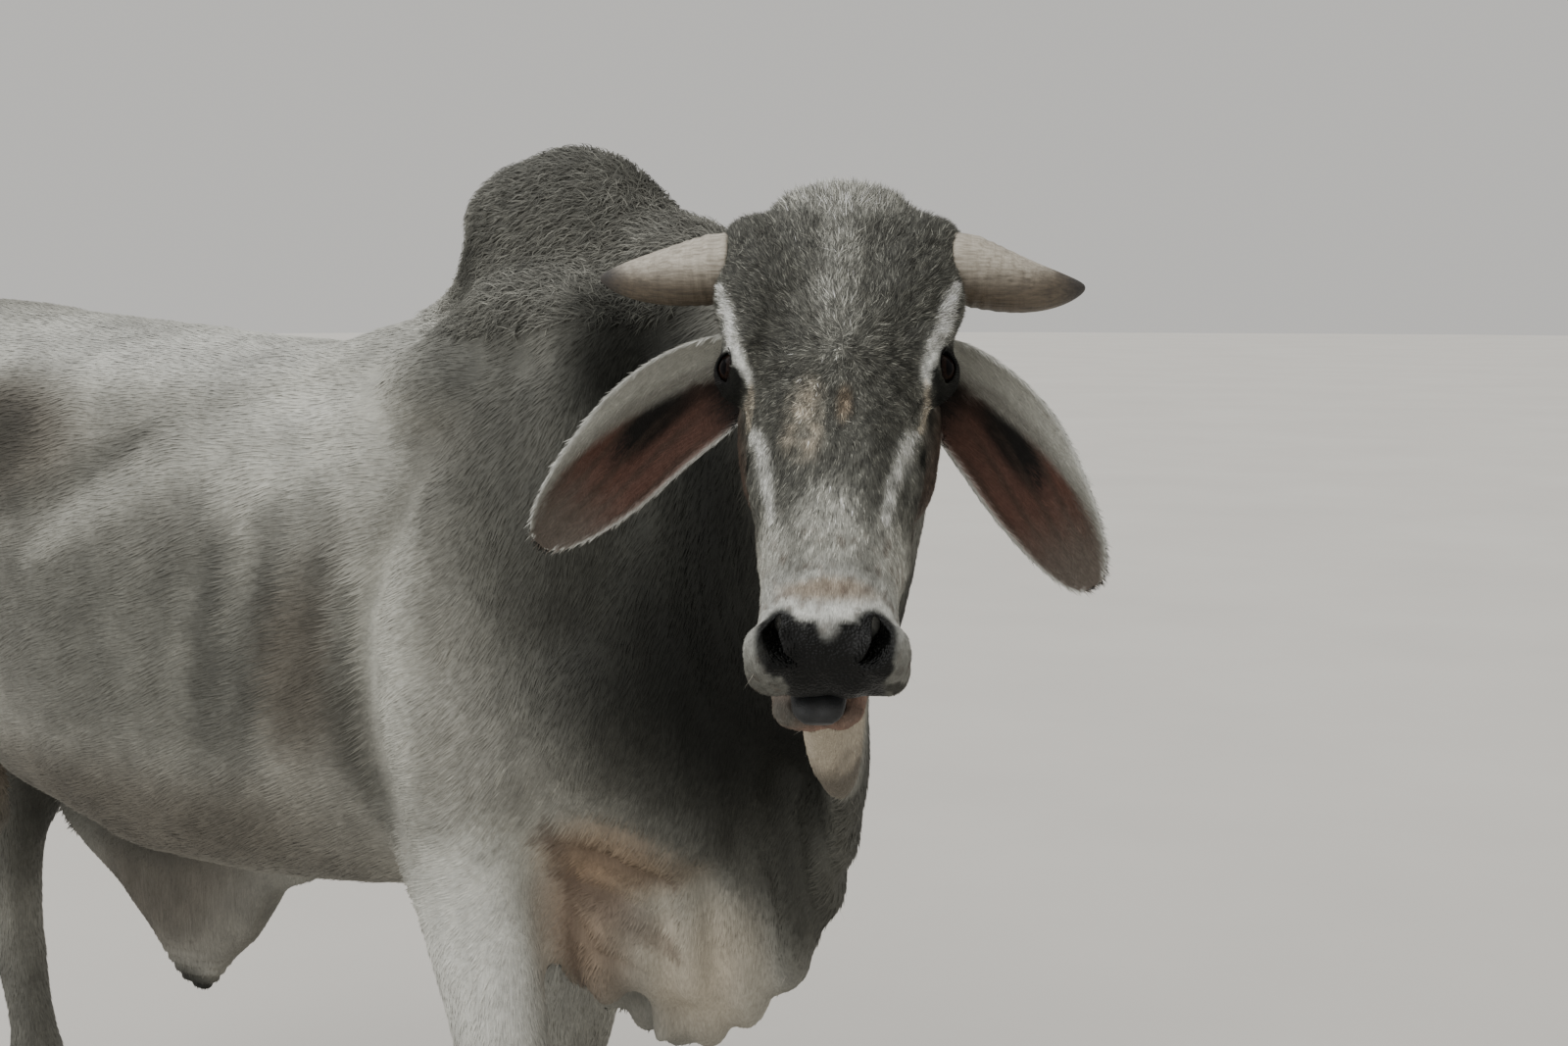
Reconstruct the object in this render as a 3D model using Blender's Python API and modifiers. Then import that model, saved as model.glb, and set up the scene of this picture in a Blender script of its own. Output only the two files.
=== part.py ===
"""A life-size Brahman bull, standing, with its head turned to its right.

Metres, +Z up, +X towards the head, +Y to the animal's left, the floor at zero. The flesh is
modelled whole, as lofts and eggs of muscle that are fused and smoothed, once coarsely for
the body and once finely for the head, and is then parted into named pieces by thin cuts.
Horns, ears, eyes, claws, tongue and tail are made apart and set into it.
"""

import math
import random

import bmesh
import bpy
import numpy as np
from mathutils import Matrix, Vector

# The stance: the middle of each foot ahead of the right fore foot, and half the track
FORE_X = {"right": 0.0, "left": -0.150}
HIND_X = {"right": -1.130, "left": -1.265}
FORE_STANCE = 0.185
HIND_STANCE = 0.175
SIDES = {"right": -1.0, "left": 1.0}

# The head: where the poll is, and how it is turned and tipped
POLL = Vector((0.577, -0.337, 1.597))
HEAD_TURN = math.radians(-64.0)
FACE_SLOPE = math.radians(55.0)  # of the face below the level
EYE_AT = (0.203, 0.099, -0.041)  # along the face, to the side, out of the face
EYE_RADIUS = 0.0205
EYE_FACING = (0.12, 0.74, 0.58)
LID_SLIT = (0.0215, 0.0185, 0.0135)
HORN_ROOT = (0.062, 0.082, -0.060)
HORN_LENGTH = 0.172
HORN_BURIED = 0.26  # of its length
HORN_RADIUS = 0.0365
HORN_DROOP = {"right": 0.012, "left": 0.022}
EAR_ROOT = (0.162, 0.098, -0.096)
EAR_LENGTH = {"right": 0.300, "left": 0.292}
EAR_WIDTH = 0.108
EAR_FALL = {"right": (0.22, 0.80), "left": (0.42, 1.03)}  # below the level, at root and tip
EAR_WALL = 0.0055

# How finely the flesh is fused, and the triangles that stay
BODY_VOXEL = 0.011
HEAD_VOXEL = 0.0042
BODY_TRIANGLES = 4500
HEAD_TRIANGLES = 3700
GAP = 0.0004  # between pieces that touch

MATERIALS = {
    "hide_pale": ((0.50, 0.49, 0.46, 1.0), 0.85),
    "hide_grey": ((0.24, 0.235, 0.225, 1.0), 0.88),
    "hide_dark": ((0.09, 0.085, 0.08, 1.0), 0.88),
    "horn": ((0.33, 0.27, 0.21, 1.0), 0.45),
    "hoof": ((0.035, 0.03, 0.028, 1.0), 0.5),
    "eye": ((0.012, 0.008, 0.006, 1.0), 0.08),
    "tongue": ((0.09, 0.095, 0.11, 1.0), 0.35),
    "long_hair": ((0.02, 0.018, 0.017, 1.0), 0.7),
}

X_AXIS, Y_AXIS, Z_AXIS = Vector((1, 0, 0)), Vector((0, 1, 0)), Vector((0, 0, 1))
WORLD = (X_AXIS, Y_AXIS, Z_AXIS)


def head_axes():
    """The head's own directions: along the face, to the animal's left, and out of the face."""
    facing = Vector((math.cos(HEAD_TURN), math.sin(HEAD_TURN), 0.0))
    along = facing * math.cos(FACE_SLOPE) - Z_AXIS * math.sin(FACE_SLOPE)
    out = facing * math.sin(FACE_SLOPE) + Z_AXIS * math.cos(FACE_SLOPE)
    return along, Z_AXIS.cross(facing), out


HEAD = head_axes()


def on_head(along, side, out):
    return POLL + HEAD[0] * along + HEAD[1] * side + HEAD[2] * out


def head_way(along, side, out):
    return (HEAD[0] * along + HEAD[1] * side + HEAD[2] * out).normalized()


# Forms: rings of points, lofts through them, eggs and tubes


def ring(centre, right, up, half, top, bottom, power=2.0, sides=28):
    """Points of one oval section, from its half width and its reach above and below centre."""
    points = []
    for i in range(sides):
        angle = 2.0 * math.pi * i / sides
        c, s = math.cos(angle), math.sin(angle)
        across = half * math.copysign(abs(c) ** (2.0 / power), c)
        rise = (top if s > 0 else bottom) * math.copysign(abs(s) ** (2.0 / power), s)
        points.append(centre + right * across + up * rise)
    return points


def add_loft(bm, rings):
    """A closed skin through rings that have the same number of points."""
    made = [[bm.verts.new(point) for point in points] for points in rings]
    sides = len(made[0])
    faces = []
    for near, far in zip(made, made[1:]):
        for i in range(sides):
            j = (i + 1) % sides
            faces.append(bm.faces.new((near[i], near[j], far[j], far[i])))
    faces.append(bm.faces.new(made[0][::-1]))
    faces.append(bm.faces.new(made[-1]))
    bmesh.ops.recalc_face_normals(bm, faces=faces)


def add_egg(bm, centre, radii, axes=WORLD, segments=24):
    """An ellipsoid, with its radii along the given three directions."""
    shape = Matrix([[axes[c][r] * radii[c] for c in range(3)] for r in range(3)]).to_4x4()
    made = bmesh.ops.create_uvsphere(
        bm,
        u_segments=segments,
        v_segments=segments // 2,
        radius=1.0,
        matrix=Matrix.Translation(centre) @ shape,
    )
    faces = {face for vert in made["verts"] for face in vert.link_faces}
    bmesh.ops.recalc_face_normals(bm, faces=list(faces))


def head_egg(bm, along, side, out, radii):
    """An egg on the head, or one on each side where it isn't in the middle."""
    for sign in (1.0, -1.0) if side else (1.0,):
        add_egg(bm, on_head(along, side * sign, out), radii, HEAD)


def tube_rings(points, radii, sides=16, flat=1.0, across=None):
    """Rings round a path, with a radius at each point; flat thins them in one direction."""
    rings = []
    right = None
    for i, point in enumerate(points):
        ahead = (points[min(i + 1, len(points) - 1)] - points[max(i - 1, 0)]).normalized()
        right = right or across or ahead.orthogonal()
        right = (right - ahead * right.dot(ahead)).normalized()
        up = ahead.cross(right)
        reach = radii[i] * flat
        rings.append(ring(point, right, up, radii[i], reach, reach, 2.0, sides))
    return rings


def level_rings(stations, sides=24, power=2.1):
    """Rings that lie level, from (x, y, z, half length, half width)."""
    return [
        ring(Vector((x, y, z)), Y_AXIS, X_AXIS, wide, long, long, power, sides)
        for x, y, z, long, wide in stations
    ]


# The flesh


def trunk(bm):
    """The barrel, chest and rump, from sections along the back."""
    sections = (  # x, top, bottom, half width, height of the widest place, squareness
        (-1.500, 1.330, 1.100, 0.080, 1.20, 2.0),
        (-1.440, 1.425, 0.980, 0.165, 1.20, 2.1),
        (-1.330, 1.466, 0.890, 0.232, 1.20, 2.2),
        (-1.180, 1.480, 0.820, 0.255, 1.18, 2.3),
        (-1.030, 1.470, 0.755, 0.268, 1.12, 2.3),
        (-0.850, 1.450, 0.705, 0.302, 1.04, 2.3),
        (-0.650, 1.434, 0.662, 0.335, 1.00, 2.35),
        (-0.450, 1.420, 0.655, 0.336, 0.99, 2.4),
        (-0.250, 1.425, 0.668, 0.304, 0.99, 2.35),
        (-0.080, 1.455, 0.684, 0.264, 1.00, 2.3),
        (0.080, 1.450, 0.700, 0.240, 1.02, 2.2),
        (0.220, 1.390, 0.740, 0.214, 1.05, 2.1),
        (0.320, 1.290, 0.800, 0.165, 1.05, 2.0),
        (0.375, 1.190, 0.880, 0.090, 1.05, 2.0),
    )
    rings = [
        ring(Vector((x, 0, wide)), Y_AXIS, Z_AXIS, half, top - wide, wide - bottom, power, 40)
        for x, top, bottom, half, wide, power in sections
    ]
    add_loft(bm, rings)


def muscles(bm):
    """The hump, and what swells under the hide on chest, shoulders and thighs."""
    middle = (  # x, y, z and the three radii
        (0.005, 0.0, 1.455, 0.192, 0.118, 0.222),
        (-0.035, 0.0, 1.560, 0.140, 0.088, 0.104),
        (0.130, -0.01, 1.455, 0.165, 0.098, 0.140),
        (0.250, 0.0, 0.840, 0.140, 0.090, 0.130),
        (-1.215, 0.0, 0.840, 0.075, 0.070, 0.110),
    )
    paired = (
        (0.060, 0.165, 1.180, 0.150, 0.090, 0.240),  # shoulder blade
        (0.130, 0.165, 0.985, 0.120, 0.085, 0.130),  # point of the shoulder
        (-0.050, 0.205, 0.930, 0.105, 0.070, 0.140),  # back of the arm
        (0.150, 0.090, 0.830, 0.150, 0.080, 0.095),  # breast
        (-1.080, 0.176, 1.350, 0.120, 0.068, 0.078),  # hip bone
        (-1.210, 0.150, 1.200, 0.230, 0.118, 0.190),  # rump
        (-1.440, 0.092, 1.240, 0.068, 0.060, 0.100),  # pin bone
    )
    for x, y, z, *radii in middle:
        add_egg(bm, Vector((x, y, z)), radii)
    for x, y, z, *radii in paired:
        for sign in SIDES.values():
            add_egg(bm, Vector((x, y * sign, z)), radii)


def scrotum(bm):
    stations = (
        (-1.215, 0.0, 0.860, 0.050, 0.055),
        (-1.215, 0.0, 0.780, 0.046, 0.050),
        (-1.212, 0.0, 0.700, 0.056, 0.066),
        (-1.208, 0.0, 0.630, 0.056, 0.068),
        (-1.205, 0.0, 0.580, 0.036, 0.046),
    )
    add_loft(bm, level_rings(stations))


def neck(bm):
    """From inside the chest to inside the back of the head, bending to the animal's right."""
    stations = (  # x, y, z, half width, top, bottom
        (-0.020, 0.000, 1.150, 0.205, 0.290, 0.300),
        (0.160, -0.002, 1.165, 0.185, 0.290, 0.320),
        (0.290, -0.036, 1.200, 0.160, 0.270, 0.300),
        (0.390, -0.098, 1.255, 0.138, 0.235, 0.262),
        (0.465, -0.172, 1.320, 0.122, 0.205, 0.225),
        (0.520, -0.236, 1.370, 0.112, 0.175, 0.195),
        (0.560, -0.300, 1.400, 0.100, 0.140, 0.150),
    )
    centres = [Vector(s[:3]) for s in stations]
    rings = []
    for i, (_, _, _, half, top, bottom) in enumerate(stations):
        ahead = centres[min(i + 1, len(centres) - 1)] - centres[max(i - 1, 0)]
        across = Z_AXIS.cross(ahead).normalized()
        up = ahead.cross(across).normalized()
        rings.append(ring(centres[i], across, up, half, top, bottom, 2.1, 32))
    add_loft(bm, rings)


DEWLAP = (  # x, y, top, bottom, half thickness, along the free edge from throat to breast bone
    (0.630, -0.482, 1.190, 1.066, 0.019),
    (0.612, -0.430, 1.250, 0.990, 0.026),
    (0.585, -0.352, 1.300, 0.950, 0.029),
    (0.545, -0.262, 1.280, 0.925, 0.030),
    (0.500, -0.180, 1.200, 0.880, 0.031),
    (0.455, -0.100, 1.120, 0.820, 0.034),
    (0.408, -0.040, 1.050, 0.735, 0.038),
    (0.350, -0.010, 0.980, 0.618, 0.042),
    (0.275, 0.004, 0.920, 0.545, 0.044),
    (0.195, -0.006, 0.880, 0.492, 0.046),
    (0.110, 0.008, 0.840, 0.500, 0.040),
    (0.035, 0.000, 0.800, 0.528, 0.032),
    (-0.045, 0.000, 0.760, 0.600, 0.026),
)
DEWLAP_PLEATS = (  # x, y, z of top and of bottom, radius at each
    (0.170, -0.078, 0.860, 0.165, -0.030, 0.520, 0.040, 0.028),
    (0.265, -0.070, 0.900, 0.250, -0.026, 0.570, 0.040, 0.026),
    (0.345, -0.055, 0.980, 0.335, -0.026, 0.650, 0.034, 0.022),
    (0.085, -0.085, 0.800, 0.070, -0.024, 0.560, 0.038, 0.022),
)


def dewlap(bm):
    """The curtain of loose skin under throat and neck, with its pleats."""
    rings = []
    places = [Vector((x, y, 0)) for x, y, *_ in DEWLAP]
    for i, (x, y, top, bottom, half) in enumerate(DEWLAP):
        ahead = places[min(i + 1, len(places) - 1)] - places[max(i - 1, 0)]
        across = Z_AXIS.cross(ahead).normalized()
        middle = (top + bottom) / 2
        reach = (top - bottom) / 2
        rings.append(ring(Vector((x, y, middle)), across, Z_AXIS, half, reach, reach, 2.6, 28))
    add_loft(bm, rings)
    for x, y, z, x_low, y_low, z_low, wide, narrow in DEWLAP_PLEATS:
        for sign in (1.0, -1.0):
            high, low = Vector((x, y * sign, z)), Vector((x_low, y_low * sign, z_low))
            points = [high.lerp(low, t) for t in (0.0, 0.33, 0.67, 1.0)]
            radii = [wide + (narrow - wide) * t for t in (0.0, 0.33, 0.67, 1.0)]
            add_loft(bm, tube_rings(points, radii))


SHEATH = (  # x, top, bottom, half thickness, from behind to the front
    (-1.000, 0.800, 0.660, 0.022),
    (-0.930, 0.780, 0.606, 0.030),
    (-0.860, 0.760, 0.560, 0.034),
    (-0.790, 0.740, 0.492, 0.038),
    (-0.735, 0.720, 0.430, 0.037),
    (-0.690, 0.710, 0.422, 0.034),
    (-0.640, 0.710, 0.478, 0.038),
    (-0.590, 0.710, 0.520, 0.036),
    (-0.535, 0.710, 0.600, 0.034),
    (-0.450, 0.710, 0.636, 0.036),
    (-0.300, 0.720, 0.655, 0.040),
)


def sheath(bm):
    rings = []
    for x, top, bottom, half in SHEATH:
        middle, reach = (top + bottom) / 2, (top - bottom) / 2
        rings.append(ring(Vector((x, 0, middle)), Y_AXIS, Z_AXIS, half, reach, reach, 2.3, 24))
    add_loft(bm, rings)


FORELEG = (  # height, ahead of the foot, in from the foot, half length, half width
    (1.220, 0.020, 0.070, 0.085, 0.040),
    (1.120, 0.050, 0.045, 0.145, 0.075),
    (1.000, 0.045, 0.020, 0.165, 0.088),
    (0.900, 0.010, 0.006, 0.148, 0.088),
    (0.820, -0.018, 0.000, 0.118, 0.083),
    (0.740, -0.018, 0.000, 0.096, 0.077),
    (0.660, -0.008, 0.002, 0.083, 0.070),
    (0.580, 0.002, 0.004, 0.071, 0.063),
    (0.510, 0.008, 0.006, 0.065, 0.058),
    (0.455, 0.012, 0.007, 0.064, 0.060),
    (0.405, 0.008, 0.006, 0.056, 0.054),
    (0.350, 0.000, 0.004, 0.046, 0.044),
    (0.280, -0.004, 0.002, 0.041, 0.038),
    (0.205, -0.006, 0.000, 0.041, 0.040),
    (0.158, -0.008, 0.000, 0.051, 0.050),
    (0.118, 0.006, 0.000, 0.046, 0.049),
    (0.072, 0.024, 0.000, 0.054, 0.057),
)
HINDLEG = (
    (1.250, -0.010, 0.045, 0.150, 0.060),
    (1.120, -0.025, 0.025, 0.210, 0.092),
    (1.000, -0.020, 0.010, 0.212, 0.100),
    (0.900, 0.005, 0.004, 0.185, 0.094),
    (0.800, 0.020, 0.004, 0.146, 0.082),
    (0.710, -0.002, 0.006, 0.112, 0.069),
    (0.630, -0.040, 0.008, 0.083, 0.056),
    (0.565, -0.066, 0.010, 0.072, 0.048),
    (0.510, -0.072, 0.010, 0.072, 0.049),
    (0.455, -0.060, 0.008, 0.060, 0.050),
    (0.400, -0.050, 0.006, 0.049, 0.045),
    (0.300, -0.036, 0.004, 0.043, 0.040),
    (0.205, -0.022, 0.000, 0.042, 0.041),
    (0.158, -0.016, 0.000, 0.052, 0.051),
    (0.118, 0.002, 0.000, 0.047, 0.049),
    (0.072, 0.022, 0.000, 0.054, 0.057),
)


def legs(bm):
    """Four legs from level sections, each with its two dewclaws."""
    hip = sum(HIND_X.values()) / 2
    for side, sign in SIDES.items():
        shoulder = -0.04 - FORE_X[side]
        for shape, foot, stance, lead, knee in (
            (FORELEG, FORE_X[side], FORE_STANCE, shoulder, 0.75),
            (HINDLEG, HIND_X[side], HIND_STANCE, hip - HIND_X[side], 0.65),
        ):
            stations = []
            for z, ahead, inward, long, wide in shape:
                drawn = lead * min(1.0, max(0.0, (z - 0.45) / (knee - 0.30)))
                stations.append((foot + ahead + drawn, sign * (stance - inward), z, long, wide))
            add_loft(bm, level_rings(stations))
            for across in (-0.026, 0.026):
                centre = Vector((foot - 0.056, sign * stance + across, 0.130))
                add_egg(bm, centre, (0.018, 0.015, 0.024), segments=12)


def head(bm):
    """Skull and face from sections along the face, with cheeks, brows, muzzle and jaw laid on."""
    face = (  # along, out at top, out at bottom, half width, squareness
        (-0.024, -0.048, -0.110, 0.062, 2.0),
        (-0.004, -0.024, -0.140, 0.098, 2.1),
        (0.036, -0.006, -0.165, 0.122, 2.3),
        (0.090, 0.001, -0.175, 0.126, 2.6),
        (0.150, 0.004, -0.175, 0.117, 2.7),
        (0.205, 0.002, -0.168, 0.102, 2.8),
        (0.260, -0.002, -0.158, 0.089, 2.8),
        (0.320, -0.005, -0.145, 0.077, 2.8),
        (0.380, -0.006, -0.130, 0.071, 2.7),
        (0.440, -0.006, -0.115, 0.069, 2.6),
        (0.490, -0.008, -0.100, 0.070, 2.5),
        (0.520, -0.020, -0.092, 0.066, 2.3),
        (0.540, -0.042, -0.086, 0.052, 2.1),
    )
    jaw = (  # along, out, half width, half depth, towards the animal's right
        (0.080, -0.175, 0.055, 0.050, 0.000),
        (0.140, -0.190, 0.076, 0.060, 0.000),
        (0.210, -0.184, 0.080, 0.062, 0.000),
        (0.290, -0.168, 0.071, 0.054, 0.002),
        (0.370, -0.152, 0.060, 0.044, 0.005),
        (0.440, -0.143, 0.052, 0.034, 0.009),
        (0.500, -0.138, 0.050, 0.027, 0.012),
        (0.534, -0.135, 0.046, 0.021, 0.012),
        (0.552, -0.134, 0.034, 0.013, 0.012),
    )
    rings = []
    for along, top, bottom, half, power in face:
        middle, reach = (top + bottom) / 2, (top - bottom) / 2
        centre = on_head(along, 0, middle)
        rings.append(ring(centre, HEAD[1], HEAD[2], half, reach, reach, power, 32))
    add_loft(bm, rings)
    rings = [
        ring(on_head(along, -right, out), HEAD[1], HEAD[2], half, deep, deep, 2.2, 28)
        for along, out, half, deep, right in jaw
    ]
    add_loft(bm, rings)
    swellings = (  # along, side, out and the three radii
        (-0.004, 0.0, -0.052, 0.030, 0.074, 0.038),  # peak of the poll
        (0.056, 0.086, -0.062, 0.054, 0.050, 0.052),  # horn bosses
        (0.120, 0.068, -0.036, 0.080, 0.062, 0.042),  # corners of the forehead
        (0.184, 0.088, -0.038, 0.040, 0.034, 0.038),  # brows
        (0.205, 0.091, -0.046, 0.036, 0.034, 0.034),  # eye sockets
        (0.275, 0.074, -0.070, 0.090, 0.020, 0.026),  # cheek bones
        (0.215, 0.072, -0.140, 0.105, 0.036, 0.080),  # chewing muscles
        (0.345, 0.054, -0.100, 0.100, 0.028, 0.046),  # cheeks
        (0.148, 0.092, -0.098, 0.034, 0.030, 0.036),  # ear roots
        (0.516, 0.052, -0.040, 0.032, 0.028, 0.034),  # wings of the nostrils
        (0.522, 0.052, -0.066, 0.026, 0.028, 0.026),  # upper lip
        (0.526, 0.022, -0.064, 0.024, 0.032, 0.026),  # front of the upper lip
    )
    for side in (0.010, -0.034):  # the two lobes of the lower lip
        add_egg(bm, on_head(0.538, side, -0.124), (0.020, 0.025, 0.012), HEAD)
    for along, side, out, *radii in swellings:
        head_egg(bm, along, side, out, radii)


def fused(name, forms, voxel, rounds, collection):
    """The forms as one smooth closed skin."""
    bm = bmesh.new()
    for form in forms:
        form(bm)
    flesh = make_object(name, bm, collection)
    remesh = flesh.modifiers.new("fuse", "REMESH")
    remesh.mode = "VOXEL"
    remesh.voxel_size = voxel
    smooth = flesh.modifiers.new("smooth", "SMOOTH")
    smooth.factor = 0.5
    smooth.iterations = rounds
    return applied(flesh)


def thinned(obj, triangles):
    decimate = obj.modifiers.new("thin", "DECIMATE")
    decimate.ratio = triangles / sum(len(p.vertices) - 2 for p in obj.data.polygons)
    decimate.use_collapse_triangulate = True
    return applied(obj)


# Objects, cuts and clean-up


def make_object(name, bm, collection):
    mesh = bpy.data.meshes.new(name)
    bm.to_mesh(mesh)
    bm.free()
    obj = bpy.data.objects.new(name, mesh)
    collection.objects.link(obj)
    return obj


def copy_of(obj, name, collection):
    copy = bpy.data.objects.new(name, obj.data.copy())
    collection.objects.link(copy)
    return copy


def applied(obj):
    """Replaces the object's mesh by what its modifiers make."""
    bpy.context.view_layer.update()
    evaluated = obj.evaluated_get(bpy.context.evaluated_depsgraph_get())
    mesh = bpy.data.meshes.new_from_object(evaluated)
    obj.modifiers.clear()
    old, obj.data = obj.data, mesh
    bpy.data.meshes.remove(old)
    return obj


def boolean(obj, other, operation, solver="EXACT"):
    modifier = obj.modifiers.new(operation.lower(), "BOOLEAN")
    modifier.operation = operation
    modifier.solver = solver
    modifier.object = other
    return applied(obj)


def largest_only(obj):
    """Keeps the biggest closed surface and drops what a cut left loose."""
    bm = bmesh.new()
    bm.from_mesh(obj.data)
    bmesh.ops.remove_doubles(bm, verts=bm.verts, dist=0.00002)
    seen = set()
    islands = []
    for start in bm.faces:
        if start in seen:
            continue
        seen.add(start)
        island = [start]
        for face in island:
            for edge in face.edges:
                for other in edge.link_faces:
                    if other not in seen:
                        seen.add(other)
                        island.append(other)
        islands.append(island)
    islands.sort(key=lambda island: sum(face.calc_area() for face in island))
    loose = [face for island in islands[:-1] for face in island]
    bmesh.ops.delete(bm, geom=loose, context="FACES")
    bmesh.ops.triangulate(bm, faces=bm.faces)
    bm.to_mesh(obj.data)
    bm.free()
    return obj


def cutter_box(name, centre, axes, halves, collection):
    """A box cutter, given by its middle, its directions and its half sizes."""
    bm = bmesh.new()
    shape = Matrix([[axes[c][r] * halves[c] * 2 for c in range(3)] for r in range(3)]).to_4x4()
    bmesh.ops.create_cube(bm, size=1.0, matrix=Matrix.Translation(centre) @ shape)
    bmesh.ops.recalc_face_normals(bm, faces=bm.faces)
    cutter = make_object(name, bm, collection)
    cutter.hide_render = True
    cutter.display_type = "WIRE"
    return cutter


def grown(cutter, name, distance, collection):
    """A copy whose faces stand out by the distance."""
    bm = bmesh.new()
    bm.from_mesh(cutter.data)
    moves = {}
    for vert in bm.verts:
        normals = []
        for face in vert.link_faces:
            if all(face.normal.dot(n) < 0.98 for n in normals):
                normals.append(face.normal.copy())
        moves[vert] = sum(normals, Vector()) * distance
    for vert, move in moves.items():
        vert.co += move
    copy = make_object(name, bm, collection)
    copy.hide_render = True
    copy.display_type = "WIRE"
    return copy


def part_off(flesh, cutter, name, pieces, cutters):
    """Takes what lies in the cutter out of the flesh as a piece of its own."""
    wider = grown(cutter, cutter.name + "_wide", GAP, cutters)
    piece = boolean(copy_of(flesh, name, pieces), cutter, "INTERSECT")
    boolean(flesh, wider, "DIFFERENCE")
    largest_only(piece)
    return piece


# Pieces set into the flesh


def eye(side, pieces, cutters):
    """The eyeball, and the cutters of its socket and of the slit between the lids."""
    sign = SIDES[side]
    along, across, out = EYE_AT
    centre = on_head(along, across * sign, out)
    facing = head_way(EYE_FACING[0], EYE_FACING[1] * sign, EYE_FACING[2])
    lengthways = head_way(1.0, 0.0, -0.12)
    lengthways = (lengthways - facing * lengthways.dot(facing)).normalized()
    axes = (facing, lengthways, facing.cross(lengthways))
    bm = bmesh.new()
    add_egg(bm, centre, (EYE_RADIUS,) * 3, axes, segments=16)
    ball = make_object("eye_" + side, bm, pieces)
    bm = bmesh.new()
    add_egg(bm, centre, (EYE_RADIUS + GAP,) * 3, axes, segments=16)
    socket = make_object("socket_" + side, bm, cutters)
    bm = bmesh.new()
    slit_centre = centre + facing * EYE_RADIUS
    add_egg(bm, slit_centre, LID_SLIT, axes, segments=16)
    slit = make_object("slit_" + side, bm, cutters)
    return ball, socket, slit


def horn(side, pieces, cutters):
    """A short horn, thick and ringed at the root, going outwards with a slight droop."""
    sign = SIDES[side]
    root = on_head(HORN_ROOT[0], HORN_ROOT[1] * sign, HORN_ROOT[2])
    outward = HEAD[1] * sign
    points, radii = [], []
    steps = 9
    for i in range(steps + 1):
        t = i / steps
        bare = max(0.0, (t - HORN_BURIED) / (1.0 - HORN_BURIED))
        droop = Z_AXIS * (HORN_DROOP[side] * math.sin(2.0 * bare))
        points.append(root + outward * (HORN_LENGTH * t) - droop)
        ringed = 0.0008 * math.sin(t * 44.0) * max(0.0, 1.0 - 1.6 * t)
        radii.append(HORN_RADIUS * max(0.06, 1.0 - bare ** 1.9) ** 0.8 + ringed)
    bm = bmesh.new()
    add_loft(bm, tube_rings(points, radii, 14))
    body = make_object("horn_" + side, bm, pieces)
    points[0] = points[0] - outward * (2 * GAP)
    bm = bmesh.new()
    add_loft(bm, tube_rings(points, [radius + GAP for radius in radii], 14))
    return body, make_object("horn_hole_" + side, bm, cutters)


def ear(side, pieces):
    """A long hanging ear: a leaf curled round its length, with walls and a closed root."""
    sign = SIDES[side]
    root = on_head(EAR_ROOT[0], EAR_ROOT[1] * sign, EAR_ROOT[2])
    steps, arc = 14, 11
    first, last = EAR_FALL[side]
    outer_rows, inner_rows = [], []
    place = root - HEAD[1] * sign * 0.014
    gone = 0.0
    for i in range(steps + 1):
        t = 1.0 - (1.0 - i / steps) ** 1.5
        fall = first + (last - first) * min(1.0, 1.9 * t) ** 0.8
        outward = HEAD[1] * sign * math.cos(fall) - Z_AXIS * math.sin(fall)
        ahead = (outward + head_facing() * 0.06).normalized()
        place = place + ahead * (EAR_LENGTH[side] * (t - gone))
        gone = t
        hollow = (head_facing() * 0.93 - Z_AXIS * 0.30).normalized()
        hollow = (hollow - ahead * hollow.dot(ahead)).normalized()
        across = ahead.cross(hollow).normalized()
        leaf = math.sin(math.pi * (0.12 + 0.877 * t ** 0.92)) ** 0.52
        half = EAR_WIDTH / 2 * leaf
        curl = 2.5 - 1.35 * min(1.0, t * 1.6)
        radius = half / math.sin(min(curl / 2, math.pi / 2))
        outer, inner = [], []
        for j in range(arc):
            angle = (j / (arc - 1) - 0.5) * curl
            way = across * math.sin(angle) - hollow * (math.cos(angle) - math.cos(curl / 2))
            wall = min(EAR_WALL, half * 0.5) * (0.45 + 0.55 * math.cos(angle / curl * math.pi))
            outer.append(place + way * radius)
            inner.append(place + way * radius + hollow * wall)
        outer_rows.append(outer)
        inner_rows.append(inner)
    bm = bmesh.new()
    add_loft(bm, [outer + inner[::-1] for outer, inner in zip(outer_rows, inner_rows)])
    return make_object("ear_" + side, bm, pieces)


def head_facing():
    return Vector((math.cos(HEAD_TURN), math.sin(HEAD_TURN), 0.0))


def claw(name, foot_x, y, inward, pieces):
    """One claw of a cloven foot: a blunt wedge, flat under the sole and on its inner side."""
    stations = (  # height, ahead, half length, half width
        (0.000, 0.032, 0.068, 0.027),
        (0.012, 0.030, 0.067, 0.0275),
        (0.040, 0.022, 0.058, 0.0265),
        (0.070, 0.014, 0.050, 0.025),
    )
    bm = bmesh.new()
    rings = []
    for z, ahead, long, wide in stations:
        points = []
        for i in range(16):
            angle = 2.0 * math.pi * i / 16
            c, s = math.cos(angle), math.sin(angle)
            reach = long * (s if s > 0 else s * 0.80)
            narrow = 1.0 - 0.42 * max(0.0, s) ** 2
            across = wide * math.copysign(abs(c) ** 0.8, c) * narrow + inward * wide * 0.35 * max(0.0, s) ** 2
            points.append(Vector((foot_x + ahead + reach, y + across, z)))
        rings.append(points)
    add_loft(bm, rings)
    return make_object(name, bm, pieces)


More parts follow.
